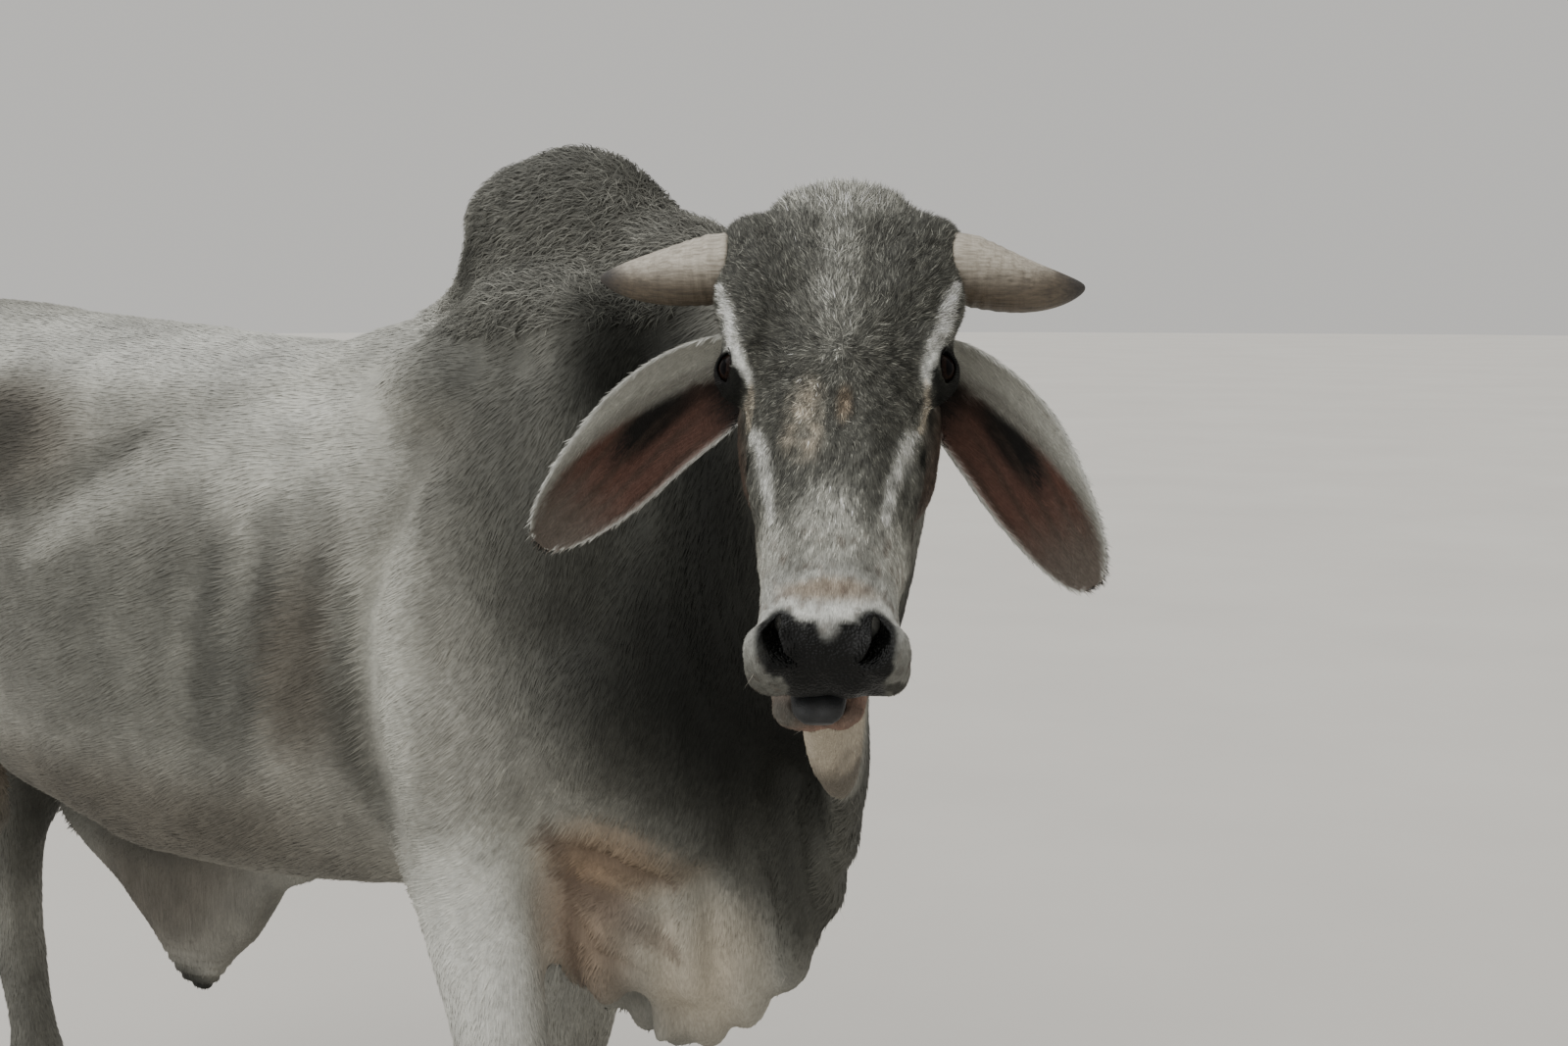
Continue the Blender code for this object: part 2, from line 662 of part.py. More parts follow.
def nostril(side, cutters):
    """A long pit that slants down and inwards over the front of the muzzle."""
    sign = SIDES[side]
    centre = on_head(0.528, 0.049 * sign, -0.022)
    slant = head_way(0.62, -0.56 * sign, -0.52)
    inward = head_way(-0.78, -0.30 * sign, -0.54)
    inward = (inward - slant * inward.dot(slant)).normalized()
    bm = bmesh.new()
    add_egg(bm, centre, (0.0235, 0.026, 0.0098), (slant, inward, slant.cross(inward)), segments=16)
    return make_object("nostril_" + side, bm, cutters)


def mouth(cutters):
    """The gap between the lips, open in front and closing towards its corners."""
    stations = (  # along, half width, out, half height
        (0.610, 0.052, -0.104, 0.0150),
        (0.560, 0.045, -0.104, 0.0120),
        (0.535, 0.046, -0.104, 0.0090),
        (0.505, 0.056, -0.104, 0.0045),
        (0.475, 0.067, -0.104, 0.0022),
        (0.445, 0.077, -0.104, 0.0012),
    )
    rings = [
        ring(on_head(along, -0.009, out), HEAD[1], HEAD[2], half, high, high, 2.6, 24)
        for along, half, out, high in stations
    ]
    bm = bmesh.new()
    add_loft(bm, rings)
    return make_object("mouth_gap", bm, cutters)


def tongue(pieces, head_piece, cutters):
    """The tip of the tongue, lying on the lower lip in the open front of the mouth."""
    stations = (  # along, half width, out, half height
        (0.490, 0.020, -0.104, 0.0026),
        (0.515, 0.026, -0.104, 0.0060),
        (0.535, 0.027, -0.103, 0.0090),
        (0.550, 0.024, -0.104, 0.0088),
        (0.559, 0.014, -0.106, 0.0048),
    )
    rings = [
        ring(on_head(along, -0.010, out), HEAD[1], HEAD[2], half, high, high, 2.2, 16)
        for along, half, out, high in stations
    ]
    bm = bmesh.new()
    add_loft(bm, rings)
    return make_object("tongue", bm, pieces)


TAIL_PATH = (  # x, y, z, radius
    (-1.455, 0.000, 1.425, 0.040),
    (-1.502, 0.000, 1.405, 0.038),
    (-1.532, 0.003, 1.335, 0.032),
    (-1.544, 0.007, 1.220, 0.027),
    (-1.542, 0.010, 1.080, 0.023),
    (-1.536, 0.010, 0.930, 0.020),
    (-1.530, 0.006, 0.780, 0.018),
    (-1.528, -0.004, 0.660, 0.016),
    (-1.528, -0.004, 0.600, 0.015),
)
TAIL_SPLIT = 4
SWITCH_LOCKS = 14
SWITCH_LENGTH = 0.33


def tail(pieces):
    """The tail in two lengths that meet end to end."""
    points = [Vector(place[:3]) for place in TAIL_PATH]
    radii = [place[3] for place in TAIL_PATH]
    rings = tube_rings(points, radii, 14, 0.85, Y_AXIS)
    down = (points[TAIL_SPLIT + 1] - points[TAIL_SPLIT - 1]).normalized() * GAP
    met = [point + down for point in rings[TAIL_SPLIT]]
    made = []
    for name, chain in (
        ("tail_upper", rings[:TAIL_SPLIT + 1]),
        ("tail_lower", [met] + rings[TAIL_SPLIT + 1:]),
    ):
        bm = bmesh.new()
        add_loft(bm, chain)
        made.append(make_object(name, bm, pieces))
    return made


def switch(pieces):
    """The tuft of the tail: flat tapered locks, bent and overlapping, fused round a core."""
    rng = random.Random(5)
    top = Vector(TAIL_PATH[-1][:3]) - Z_AXIS * GAP
    bm = bmesh.new()
    core = [(0.0, 0.014), (0.05, 0.020), (0.11, 0.021), (0.16, 0.012)]
    points = [top - Z_AXIS * drop for drop, _ in core]
    add_loft(bm, tube_rings(points, [radius for _, radius in core], 12))
    body = make_object("tail_switch", bm, pieces)
    for k in range(SWITCH_LOCKS):
        angle = 2.399963 * k
        depth = k / SWITCH_LOCKS
        start = top - Z_AXIS * (0.018 + 0.085 * depth)
        outward = Vector((math.cos(angle), math.sin(angle), 0.0))
        length = SWITCH_LENGTH * rng.uniform(0.62, 1.0) - 0.10 * depth
        spread = rng.uniform(0.010, 0.030)
        sway = Y_AXIS * rng.uniform(-0.016, 0.016)
        points, radii = [], []
        for i in range(6):
            t = i / 5
            out = 0.004 + spread * math.sin(math.pi * min(1.0, 0.75 * t + 0.05))
            points.append(start + outward * out + sway * t * t - Z_AXIS * (length * t))
            radii.append(0.0125 * math.sin(math.pi * (0.22 + 0.74 * t)) ** 0.8 + 0.0008)
        lock = bmesh.new()
        rings = tube_rings(points, radii, 6, 0.42, outward.cross(Z_AXIS))
        add_loft(lock, rings)
        piece = make_object("lock", lock, pieces)
        boolean(body, piece, "UNION")
        bpy.data.objects.remove(piece)
    return largest_only(body)


def material(slot, node):
    colour, roughness = MATERIALS[slot]
    made = bpy.data.materials.new(slot + "_of_" + node)
    made.use_nodes = True
    made.diffuse_color = colour
    shader = made.node_tree.nodes["Principled BSDF"]
    shader.inputs["Base Color"].default_value = colour
    shader.inputs["Roughness"].default_value = roughness
    return made


SLOTS = (  # the first of these that starts the node's name gives its material
    ("horn", "horn"),
    ("claw", "hoof"),
    ("eye", "eye"),
    ("tongue", "tongue"),
    ("tail_switch", "long_hair"),
    ("neck", "hide_dark"),
    ("head", "hide_grey"),
    ("ear", "hide_grey"),
    ("dewlap", "hide_grey"),
    ("sheath", "hide_grey"),
    ("", "hide_pale"),
)


def finish(pieces):
    """Gives each node its material and brings the middle of the whole over the origin."""
    places = [vert.co for obj in pieces.objects for vert in obj.data.vertices]
    low = Vector([min(place[i] for place in places) for i in range(3)])
    high = Vector([max(place[i] for place in places) for i in range(3)])
    shift = Vector((-(low.x + high.x) / 2, -(low.y + high.y) / 2, -low.z))
    for obj in pieces.objects:
        slot = next(slot for start, slot in SLOTS if obj.name.startswith(start))
        obj.data.materials.clear()
        obj.data.materials.append(material(slot, obj.name))
        obj.data.transform(Matrix.Translation(shift))
        for polygon in obj.data.polygons:
            polygon.use_smooth = True


def clear_scene():
    for obj in list(bpy.data.objects):
        bpy.data.objects.remove(obj)


def main():
    clear_scene()
    pieces = bpy.data.collections.new("brahman_bull")
    cutters = bpy.data.collections.new("cutters")
    bpy.context.scene.collection.children.link(pieces)
    bpy.context.scene.collection.children.link(cutters)

    flesh = fused(
        "flesh",
        (trunk, muscles, scrotum, neck, dewlap, sheath, legs, head),
        BODY_VOXEL,
        12,
        cutters,
    )
    fine = fused("fine_head", (neck, dewlap, head), HEAD_VOXEL, 22, cutters)

    # The head ends on a plane across the neck
    neck_way = Vector((0.52, -0.80, 0.30)).normalized()
    side_way = Z_AXIS.cross(neck_way).normalized()
    neck_axes = (neck_way, side_way, neck_way.cross(side_way))
    joint = Vector((0.520, -0.236, 1.370))
    middle = joint + neck_way * 0.40
    head_box = cutter_box("head_box", middle, neck_axes, (0.40, 0.40, 0.50), cutters)
    wide_box = grown(head_box, "head_box_wide", GAP, cutters)
    boolean(fine, head_box, "INTERSECT")
    boolean(flesh, wide_box, "DIFFERENCE")
    largest_only(fine)
    thinned(fine, HEAD_TRIANGLES)
    thinned(flesh, BODY_TRIANGLES)
    largest_only(flesh)

    # Eyes, horns, nostrils and mouth
    for side in SIDES:
        ball, socket, slit = eye(side, pieces, cutters)
        boolean(fine, slit, "DIFFERENCE")
        boolean(fine, socket, "DIFFERENCE")
        body, hole = horn(side, pieces, cutters)
        boolean(fine, hole, "DIFFERENCE")
        boolean(fine, nostril(side, cutters), "DIFFERENCE")
    boolean(fine, mouth(cutters), "DIFFERENCE")
    head_node = largest_only(copy_of(fine, "head", pieces))
    tongue_node = tongue(pieces, head_node, cutters)
    boolean(tongue_node, grown(head_node, "head_wide", GAP, cutters), "DIFFERENCE")
    largest_only(tongue_node)

    # Ears are trimmed to the head
    ear_trim = grown(head_node, "head_wide_for_ears", GAP, cutters)
    for side in SIDES:
        leaf = ear(side, pieces)
        boolean(leaf, ear_trim, "DIFFERENCE")
        largest_only(leaf)

    # Neck, dewlap, sheath and legs are parted from the trunk
    neck_way = Vector((0.96, -0.27, -0.05)).normalized()
    side_way = Z_AXIS.cross(neck_way).normalized()
    axes = (neck_way, side_way, neck_way.cross(side_way))
    centre = Vector((0.268, -0.020, 1.160)) + neck_way * 0.30 + axes[2] * 0.16
    neck_box = cutter_box("neck_box", centre, axes, (0.30, 0.36, 0.46), cutters)
    part_off(flesh, neck_box, "neck", pieces, cutters)
    for side, sign in SIDES.items():
        for name, foot, top, inner in (
            ("foreleg_", FORE_X[side], 0.705, 0.100),
            ("hindleg_", HIND_X[side], 0.745, 0.060),
        ):
            outer = 0.42
            centre = Vector((foot - 0.01, sign * (inner + outer) / 2, top / 2 - 0.05))
            halves = (0.19, (outer - inner) / 2, top / 2 + 0.05)
            box = cutter_box(name + side + "_box", centre, WORLD, halves, cutters)
            part_off(flesh, box, name + side, pieces, cutters)
    sheath_box = cutter_box(
        "sheath_box", Vector((-0.70, 0, 0.50)), WORLD, (0.42, 0.10, 0.152), cutters
    )
    part_off(flesh, sheath_box, "sheath", pieces, cutters)
    dewlap_box = cutter_box(
        "dewlap_box", Vector((0.20, 0, 0.50)), WORLD, (0.34, 0.30, 0.20), cutters
    )
    part_off(flesh, dewlap_box, "dewlap", pieces, cutters)
    torso = largest_only(copy_of(flesh, "torso", pieces))
    torso_wide = grown(torso, "torso_wide", GAP, cutters)

    # Claws and tail
    for side, sign in SIDES.items():
        for pair, foot, stance in (
            ("fore", FORE_X[side], FORE_STANCE),
            ("hind", HIND_X[side], HIND_STANCE),
        ):
            for place, across in (("inner", -0.029 * sign), ("outer", 0.029 * sign)):
                name = f"claw_{pair}_{side}_{place}"
                claw(name, foot, sign * stance + across, -math.copysign(1.0, across), pieces)
    upper, _ = tail(pieces)
    boolean(upper, torso_wide, "DIFFERENCE")
    largest_only(upper)
    switch(pieces)

    for obj in list(cutters.objects):
        bpy.data.objects.remove(obj)
    finish(pieces)


if __name__ == "__main__":
    main()
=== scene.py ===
"""A life-size Brahman bull: its hide and coat, eyes, horns, claws, tongue and tail hair.

Everything is laid out in the bull's own frame: metres, +X ahead, +Y to its left, +Z up, and the
middle of the right fore foot at x = 0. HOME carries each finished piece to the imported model.
"""

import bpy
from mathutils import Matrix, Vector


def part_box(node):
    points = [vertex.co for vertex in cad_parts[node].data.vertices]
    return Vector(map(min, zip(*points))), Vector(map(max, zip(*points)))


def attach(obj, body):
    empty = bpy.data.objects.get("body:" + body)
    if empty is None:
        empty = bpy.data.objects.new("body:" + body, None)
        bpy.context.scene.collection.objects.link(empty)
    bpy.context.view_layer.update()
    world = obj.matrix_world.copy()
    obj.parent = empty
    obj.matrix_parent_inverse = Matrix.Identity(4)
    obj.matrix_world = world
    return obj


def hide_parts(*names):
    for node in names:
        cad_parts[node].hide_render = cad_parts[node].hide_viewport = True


bl_info = {
    "name": "Brahman Bull",
    "version": (1, 0, 0),
    "blender": (4, 5, 0),
    "location": "3D View > Sidebar > Bull",
    "description": "Hide, coat, eyes, horns, claws and tail hair of a standing Brahman bull",
    "category": "Object",
}

import math
from contextlib import contextmanager

import bmesh
import bpy
import numpy as np
from bpy.props import FloatProperty, FloatVectorProperty, IntProperty, PointerProperty
from mathutils import Matrix, Vector
from mathutils.kdtree import KDTree

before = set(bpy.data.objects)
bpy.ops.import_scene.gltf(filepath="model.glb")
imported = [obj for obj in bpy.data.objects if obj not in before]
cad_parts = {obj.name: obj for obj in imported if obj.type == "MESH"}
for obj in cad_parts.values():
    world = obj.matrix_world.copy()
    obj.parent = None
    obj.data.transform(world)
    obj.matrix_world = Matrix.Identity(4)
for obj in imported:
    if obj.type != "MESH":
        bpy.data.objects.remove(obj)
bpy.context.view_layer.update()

X_AXIS, Y_AXIS, Z_AXIS = Vector((1, 0, 0)), Vector((0, 1, 0)), Vector((0, 0, 1))
WORLD = (X_AXIS, Y_AXIS, Z_AXIS)
SIDES = {"right": -1.0, "left": 1.0}

# The stance: the middle of each foot ahead of the right fore foot, and half the track
FORE_X = {"right": 0.0, "left": -0.150}
HIND_X = {"right": -1.130, "left": -1.265}
FORE_STANCE = 0.185
HIND_STANCE = 0.175
SHOULDER_X = -0.04  # what the tops of the forelegs stand under

# The head: where the poll is, how it is turned and tipped, and what is set into it
POLL = Vector((0.577, -0.337, 1.597))
HEAD_TURN = math.radians(-64.0)
FACE_SLOPE = math.radians(55.0)  # of the face below the level
EYE_AT = (0.203, 0.099, -0.041)  # along the face, to the side, out of the face
EYE_RADIUS = 0.0205
EYE_PLAY = 0.0003  # of the eyeball in its socket
EYE_FACING = (0.10, 0.66, 0.70)
HORN_ROOT = (0.062, 0.082, -0.060)
HORN_LENGTH = 0.172
HORN_BURIED = 0.26  # of its length
HORN_RADIUS = 0.0365
HORN_DROOP = {"right": 0.012, "left": 0.022}
EAR_ROOT = (0.162, 0.098, -0.096)
EAR_LENGTH = {"right": 0.300, "left": 0.292}
EAR_WIDTH = 0.114
EAR_FALL = {"right": (0.22, 0.80), "left": (0.42, 1.03)}  # below the level, at root and tip
EAR_WALL = 0.0055
NECK_JOINT = Vector((0.520, -0.236, 1.370))  # where the head's fine mesh meets the body's
NECK_WAY = Vector((0.52, -0.80, 0.30)).normalized()

# How finely the flesh is fused, and the triangles that stay
BODY_VOXEL = 0.011
HEAD_VOXEL = 0.0042
BODY_TRIANGLES = 96000
HEAD_TRIANGLES = 84000
OVERLAP = 0.006  # of the two meshes at the neck
NECK_TRIM = 0.03  # before the joint, where the head's forms end while they are sculpted
SEAM = 0.022  # from their joint, what is smoothed over
DOUBLED = 0.00002  # points nearer than this are one
BODY_EVENED = (  # middle, radii and rounds of smoothing: behind the hump, the brisket, the sac
    ((-0.20, 0.0, 1.46), (0.20, 0.20, 0.12), 120),
    ((0.10, 0.0, 0.74), (0.16, 0.20, 0.16), 30),
    ((-1.205, 0.0, 0.585), (0.08, 0.08, 0.05), 60),
)

# The camera, beside the bull's middle and a little above its back
CAMERA_TURN = math.radians(30.0)
CAMERA_RIGHT = 0.2725
CAMERA_AWAY = 2.86
CAMERA_HEIGHT = 1.5
CAMERA_DOWN = math.radians(6.38)
CAMERA_LENS = 50.0

FACING = Vector((math.cos(HEAD_TURN), math.sin(HEAD_TURN), 0.0))


def head_axes():
    """The head's own directions: along the face, to the animal's left, and out of the face."""
    along = FACING * math.cos(FACE_SLOPE) - Z_AXIS * math.sin(FACE_SLOPE)
    out = FACING * math.sin(FACE_SLOPE) + Z_AXIS * math.cos(FACE_SLOPE)
    return along, Z_AXIS.cross(FACING), out


HEAD = head_axes()
HEAD_ROWS = np.array(HEAD)


def on_head(along, side, out):
    return POLL + HEAD[0] * along + HEAD[1] * side + HEAD[2] * out


def head_way(along, side, out):
    return (HEAD[0] * along + HEAD[1] * side + HEAD[2] * out).normalized()


def home():
    """From the bull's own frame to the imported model's, by the middle of the right eye."""
    low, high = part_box("eye_right")
    return (low + high) / 2 - on_head(EYE_AT[0], -EYE_AT[1], EYE_AT[2])


HOME = home()


# Forms: rings of points, lofts through them, eggs and tubes


def turns(sides):
    """The cosine and the sine of each even step round a circle."""
    angles = [2.0 * math.pi * i / sides for i in range(sides)]
    return [(math.cos(angle), math.sin(angle)) for angle in angles]


def bowed(value, power):
    """The value's size raised to a power, with its sign kept."""
    return math.copysign(abs(value) ** power, value)


def squared(way, ahead):
    """The direction nearest to way that is square to ahead."""
    return (way - ahead * way.dot(ahead)).normalized()


def heading(points, i):
    """From the point before to the point after, along a path."""
    return points[min(i + 1, len(points) - 1)] - points[max(i - 1, 0)]


def ring(centre, right, up, half, top, bottom, power=2.0, sides=28):
    """Points of one oval section, from its half width and its reach above and below centre."""
    points = []
    for c, s in turns(sides):
        across = half * bowed(c, 2.0 / power)
        rise = (top if s > 0 else bottom) * bowed(s, 2.0 / power)
        points.append(centre + right * across + up * rise)
    return points


def upright_ring(x, y, top, bottom, across, half, power, sides):
    """A section of the body that stands between two heights."""
    middle, reach = (top + bottom) / 2, (top - bottom) / 2
    return ring(Vector((x, y, middle)), across, Z_AXIS, half, reach, reach, power, sides)


def face_ring(along, side, out, half, high, power, sides):
    """A section across the head, as high above its middle as below it."""
    return ring(on_head(along, side, out), HEAD[1], HEAD[2], half, high, high, power, sides)


def add_loft(bm, rings):
    """A closed skin through rings that have the same number of points."""
    made = [[bm.verts.new(point) for point in points] for points in rings]
    sides = len(made[0])
    faces = []
    for near, far in zip(made, made[1:]):
        for i in range(sides):
            j = (i + 1) % sides
            faces.append(bm.faces.new((near[i], near[j], far[j], far[i])))
    faces.append(bm.faces.new(made[0][::-1]))
    faces.append(bm.faces.new(made[-1]))
    bmesh.ops.recalc_face_normals(bm, faces=faces)


def add_egg(bm, centre, radii, axes=WORLD, segments=24):
    """An ellipsoid, with its radii along the given three directions."""
    shape = Matrix([[axes[c][r] * radii[c] for c in range(3)] for r in range(3)]).to_4x4()
    made = bmesh.ops.create_uvsphere(
        bm,
        u_segments=segments,
        v_segments=segments // 2,
        radius=1.0,
        matrix=Matrix.Translation(centre) @ shape,
    )
    faces = {face for vert in made["verts"] for face in vert.link_faces}
    bmesh.ops.recalc_face_normals(bm, faces=list(faces))


def body_eggs(bm, middle, paired):
    """Eggs on the body's middle line, and eggs that lie on both sides."""
    for x, y, z, *radii in middle:
        add_egg(bm, Vector((x, y, z)), radii)
    for x, y, z, *radii in paired:
        for sign in SIDES.values():
            add_egg(bm, Vector((x, y * sign, z)), radii)


def head_egg(bm, along, side, out, radii):
    """An egg on the head, or one on each side where it isn't in the middle."""
    for sign in (1.0, -1.0) if side else (1.0,):
        add_egg(bm, on_head(along, side * sign, out), radii, HEAD)


def tube_rings(points, radii, sides=16, flat=1.0, across=None):
    """Rings round a path, with a radius at each point; flat thins them in one direction."""
    rings = []
    right = None
    for i, point in enumerate(points):
        ahead = heading(points, i).normalized()
        right = squared(right or across or ahead.orthogonal(), ahead)
        reach = radii[i] * flat
        rings.append(ring(point, right, ahead.cross(right), radii[i], reach, reach, 2.0, sides))
    return rings


def level_rings(stations, sides=24, power=2.1):
    """Rings that lie level, from (x, y, z, half length, half width)."""
    return [
        ring(Vector((x, y, z)), Y_AXIS, X_AXIS, wide, long, long, power, sides)
        for x, y, z, long, wide in stations
    ]


# The flesh


def trunk(bm):
    """The barrel, chest and rump, from sections along the back."""
    sections = (  # x, top, bottom, half width, height of the widest place, squareness
        (-1.500, 1.330, 1.100, 0.080, 1.20, 2.0),
        (-1.440, 1.425, 0.980, 0.165, 1.20, 2.1),
        (-1.330, 1.466, 0.890, 0.232, 1.20, 2.2),
        (-1.180, 1.480, 0.820, 0.255, 1.18, 2.3),
        (-1.030, 1.470, 0.755, 0.268, 1.12, 2.3),
        (-0.850, 1.450, 0.705, 0.302, 1.04, 2.3),
        (-0.650, 1.434, 0.662, 0.335, 1.00, 2.35),
        (-0.450, 1.420, 0.655, 0.336, 0.99, 2.4),
        (-0.250, 1.425, 0.668, 0.304, 0.99, 2.35),
        (-0.080, 1.455, 0.684, 0.264, 1.00, 2.3),
        (0.080, 1.450, 0.700, 0.240, 1.02, 2.2),
        (0.220, 1.390, 0.740, 0.214, 1.05, 2.1),
        (0.320, 1.290, 0.800, 0.165, 1.05, 2.0),
        (0.375, 1.190, 0.880, 0.090, 1.05, 2.0),
    )
    rings = [
        ring(Vector((x, 0, wide)), Y_AXIS, Z_AXIS, half, top - wide, wide - bottom, power, 40)
        for x, top, bottom, half, wide, power in sections
    ]
    add_loft(bm, rings)


def muscles(bm):
    """The hump, and what swells under the hide on chest, shoulders and thighs."""
    middle = (  # x, y, z and the three radii
        (0.005, 0.0, 1.455, 0.192, 0.118, 0.222),
        (-0.035, 0.0, 1.560, 0.140, 0.088, 0.104),
        (0.130, -0.01, 1.455, 0.165, 0.098, 0.140),
        (0.250, 0.0, 0.840, 0.140, 0.090, 0.130),
        (-1.215, 0.0, 0.840, 0.075, 0.070, 0.110),
    )
    paired = (
        (0.060, 0.165, 1.180, 0.150, 0.090, 0.240),  # shoulder blade
        (0.130, 0.165, 0.985, 0.120, 0.085, 0.130),  # point of the shoulder
        (-0.050, 0.205, 0.930, 0.105, 0.070, 0.140),  # back of the arm
        (0.150, 0.090, 0.830, 0.150, 0.080, 0.095),  # breast
        (-1.080, 0.176, 1.350, 0.120, 0.068, 0.078),  # hip bone
        (-1.210, 0.150, 1.200, 0.230, 0.118, 0.190),  # rump
        (-1.440, 0.092, 1.240, 0.068, 0.060, 0.100),  # pin bone
    )
    body_eggs(bm, middle, paired)


def fillings(bm):
    """What rounds the hollows between the hump, the shoulders, the brisket and the forelegs."""
    middle = (
        (-0.180, 0.0, 1.440, 0.050, 0.080, 0.045),
        (-0.230, 0.0, 1.418, 0.120, 0.110, 0.034),
        (0.270, -0.02, 1.400, 0.120, 0.090, 0.085),
    )
    paired = (
        (0.030, 0.095, 1.385, 0.170, 0.105, 0.140),
        (-0.070, 0.125, 1.350, 0.140, 0.105, 0.105),
        (0.100, 0.085, 0.700, 0.085, 0.062, 0.135),
        (0.190, 0.060, 0.690, 0.080, 0.050, 0.120),
    )
    body_eggs(bm, middle, paired)


def scrotum(bm):
    stations = (  # x, y, z, half length, half width
        (-1.215, 0.0, 0.860, 0.050, 0.055),
        (-1.215, 0.0, 0.780, 0.046, 0.050),
        (-1.212, 0.0, 0.700, 0.056, 0.066),
        (-1.208, 0.0, 0.630, 0.056, 0.068),
        (-1.205, 0.0, 0.580, 0.036, 0.046),
    )
    add_loft(bm, level_rings(stations))


def neck(bm):
    """From inside the chest to inside the back of the head, bending to the animal's right."""
    stations = (  # x, y, z, half width, top, bottom
        (-0.020, 0.000, 1.150, 0.205, 0.290, 0.300),
        (0.160, -0.002, 1.165, 0.185, 0.290, 0.320),
        (0.290, -0.036, 1.200, 0.160, 0.270, 0.300),
        (0.390, -0.098, 1.255, 0.138, 0.235, 0.262),
        (0.465, -0.172, 1.320, 0.122, 0.205, 0.225),
        (0.520, -0.236, 1.370, 0.112, 0.175, 0.195),
        (0.560, -0.300, 1.400, 0.100, 0.140, 0.150),
    )
    centres = [Vector(s[:3]) for s in stations]
    rings = []
    for i, (_, _, _, half, top, bottom) in enumerate(stations):
        ahead = heading(centres, i)
        across = Z_AXIS.cross(ahead).normalized()
        up = ahead.cross(across).normalized()
        rings.append(ring(centres[i], across, up, half, top, bottom, 2.1, 32))
    add_loft(bm, rings)


DEWLAP = (  # x, y, top, bottom, half thickness, along the free edge from throat to breast bone
    (0.630, -0.482, 1.190, 1.066, 0.019),
    (0.612, -0.430, 1.250, 0.990, 0.026),
    (0.585, -0.352, 1.300, 0.950, 0.029),
    (0.545, -0.262, 1.280, 0.925, 0.030),
    (0.500, -0.180, 1.200, 0.880, 0.031),
    (0.455, -0.100, 1.120, 0.820, 0.034),
    (0.408, -0.040, 1.050, 0.735, 0.038),
    (0.350, -0.010, 0.980, 0.618, 0.042),
    (0.275, 0.004, 0.920, 0.545, 0.044),
    (0.195, -0.006, 0.880, 0.492, 0.046),
    (0.110, 0.008, 0.840, 0.500, 0.040),
    (0.035, 0.000, 0.800, 0.528, 0.032),
    (-0.045, 0.000, 0.760, 0.600, 0.026),
)
DEWLAP_PLEATS = (  # x, y, z of top and of bottom, radius at each
    (0.170, -0.078, 0.860, 0.165, -0.030, 0.520, 0.040, 0.028),
    (0.265, -0.070, 0.900, 0.250, -0.026, 0.570, 0.040, 0.026),
    (0.345, -0.055, 0.980, 0.335, -0.026, 0.650, 0.034, 0.022),
    (0.085, -0.085, 0.800, 0.070, -0.024, 0.560, 0.038, 0.022),
)


def dewlap(bm):
    """The curtain of loose skin under throat and neck, with its pleats."""
    rings = []
    places = [Vector((x, y, 0)) for x, y, *_ in DEWLAP]
    for i, (x, y, top, bottom, half) in enumerate(DEWLAP):
        across = Z_AXIS.cross(heading(places, i)).normalized()
        rings.append(upright_ring(x, y, top, bottom, across, half, 2.6, 28))
    add_loft(bm, rings)
    steps = (0.0, 0.33, 0.67, 1.0)
    for x, y, z, x_low, y_low, z_low, wide, narrow in DEWLAP_PLEATS:
        radii = [wide + (narrow - wide) * t for t in steps]
        for sign in (1.0, -1.0):
            high, low = Vector((x, y * sign, z)), Vector((x_low, y_low * sign, z_low))
            add_loft(bm, tube_rings([high.lerp(low, t) for t in steps], radii))


SHEATH = (  # x, top, bottom, half thickness, from behind to the front
    (-1.000, 0.800, 0.660, 0.022),
    (-0.930, 0.780, 0.606, 0.030),
    (-0.860, 0.760, 0.560, 0.034),
    (-0.790, 0.740, 0.492, 0.038),
    (-0.735, 0.720, 0.430, 0.037),
    (-0.690, 0.710, 0.422, 0.034),
    (-0.640, 0.710, 0.478, 0.038),
    (-0.590, 0.710, 0.520, 0.036),
    (-0.535, 0.710, 0.600, 0.034),
    (-0.450, 0.710, 0.636, 0.036),
    (-0.300, 0.720, 0.655, 0.040),
)


def sheath(bm):
    add_loft(bm, [
        upright_ring(x, 0, top, bottom, Y_AXIS, half, 2.3, 24) for x, top, bottom, half in SHEATH
    ])


FORELEG = (  # height, ahead of the foot, in from the foot, half length, half width
    (1.220, 0.020, 0.070, 0.085, 0.040),
    (1.120, 0.050, 0.045, 0.145, 0.075),
    (1.000, 0.045, 0.020, 0.165, 0.088),
    (0.900, 0.010, 0.006, 0.148, 0.088),
    (0.820, -0.018, 0.000, 0.118, 0.083),
    (0.740, -0.018, 0.000, 0.096, 0.077),
    (0.660, -0.008, 0.002, 0.083, 0.070),
    (0.580, 0.002, 0.004, 0.071, 0.063),
    (0.510, 0.008, 0.006, 0.065, 0.058),
    (0.455, 0.012, 0.007, 0.064, 0.060),
    (0.405, 0.008, 0.006, 0.056, 0.054),
    (0.350, 0.000, 0.004, 0.046, 0.044),
    (0.280, -0.004, 0.002, 0.041, 0.038),
    (0.205, -0.006, 0.000, 0.041, 0.040),
    (0.158, -0.008, 0.000, 0.051, 0.050),
    (0.118, 0.006, 0.000, 0.046, 0.049),
    (0.072, 0.024, 0.000, 0.054, 0.057),
)
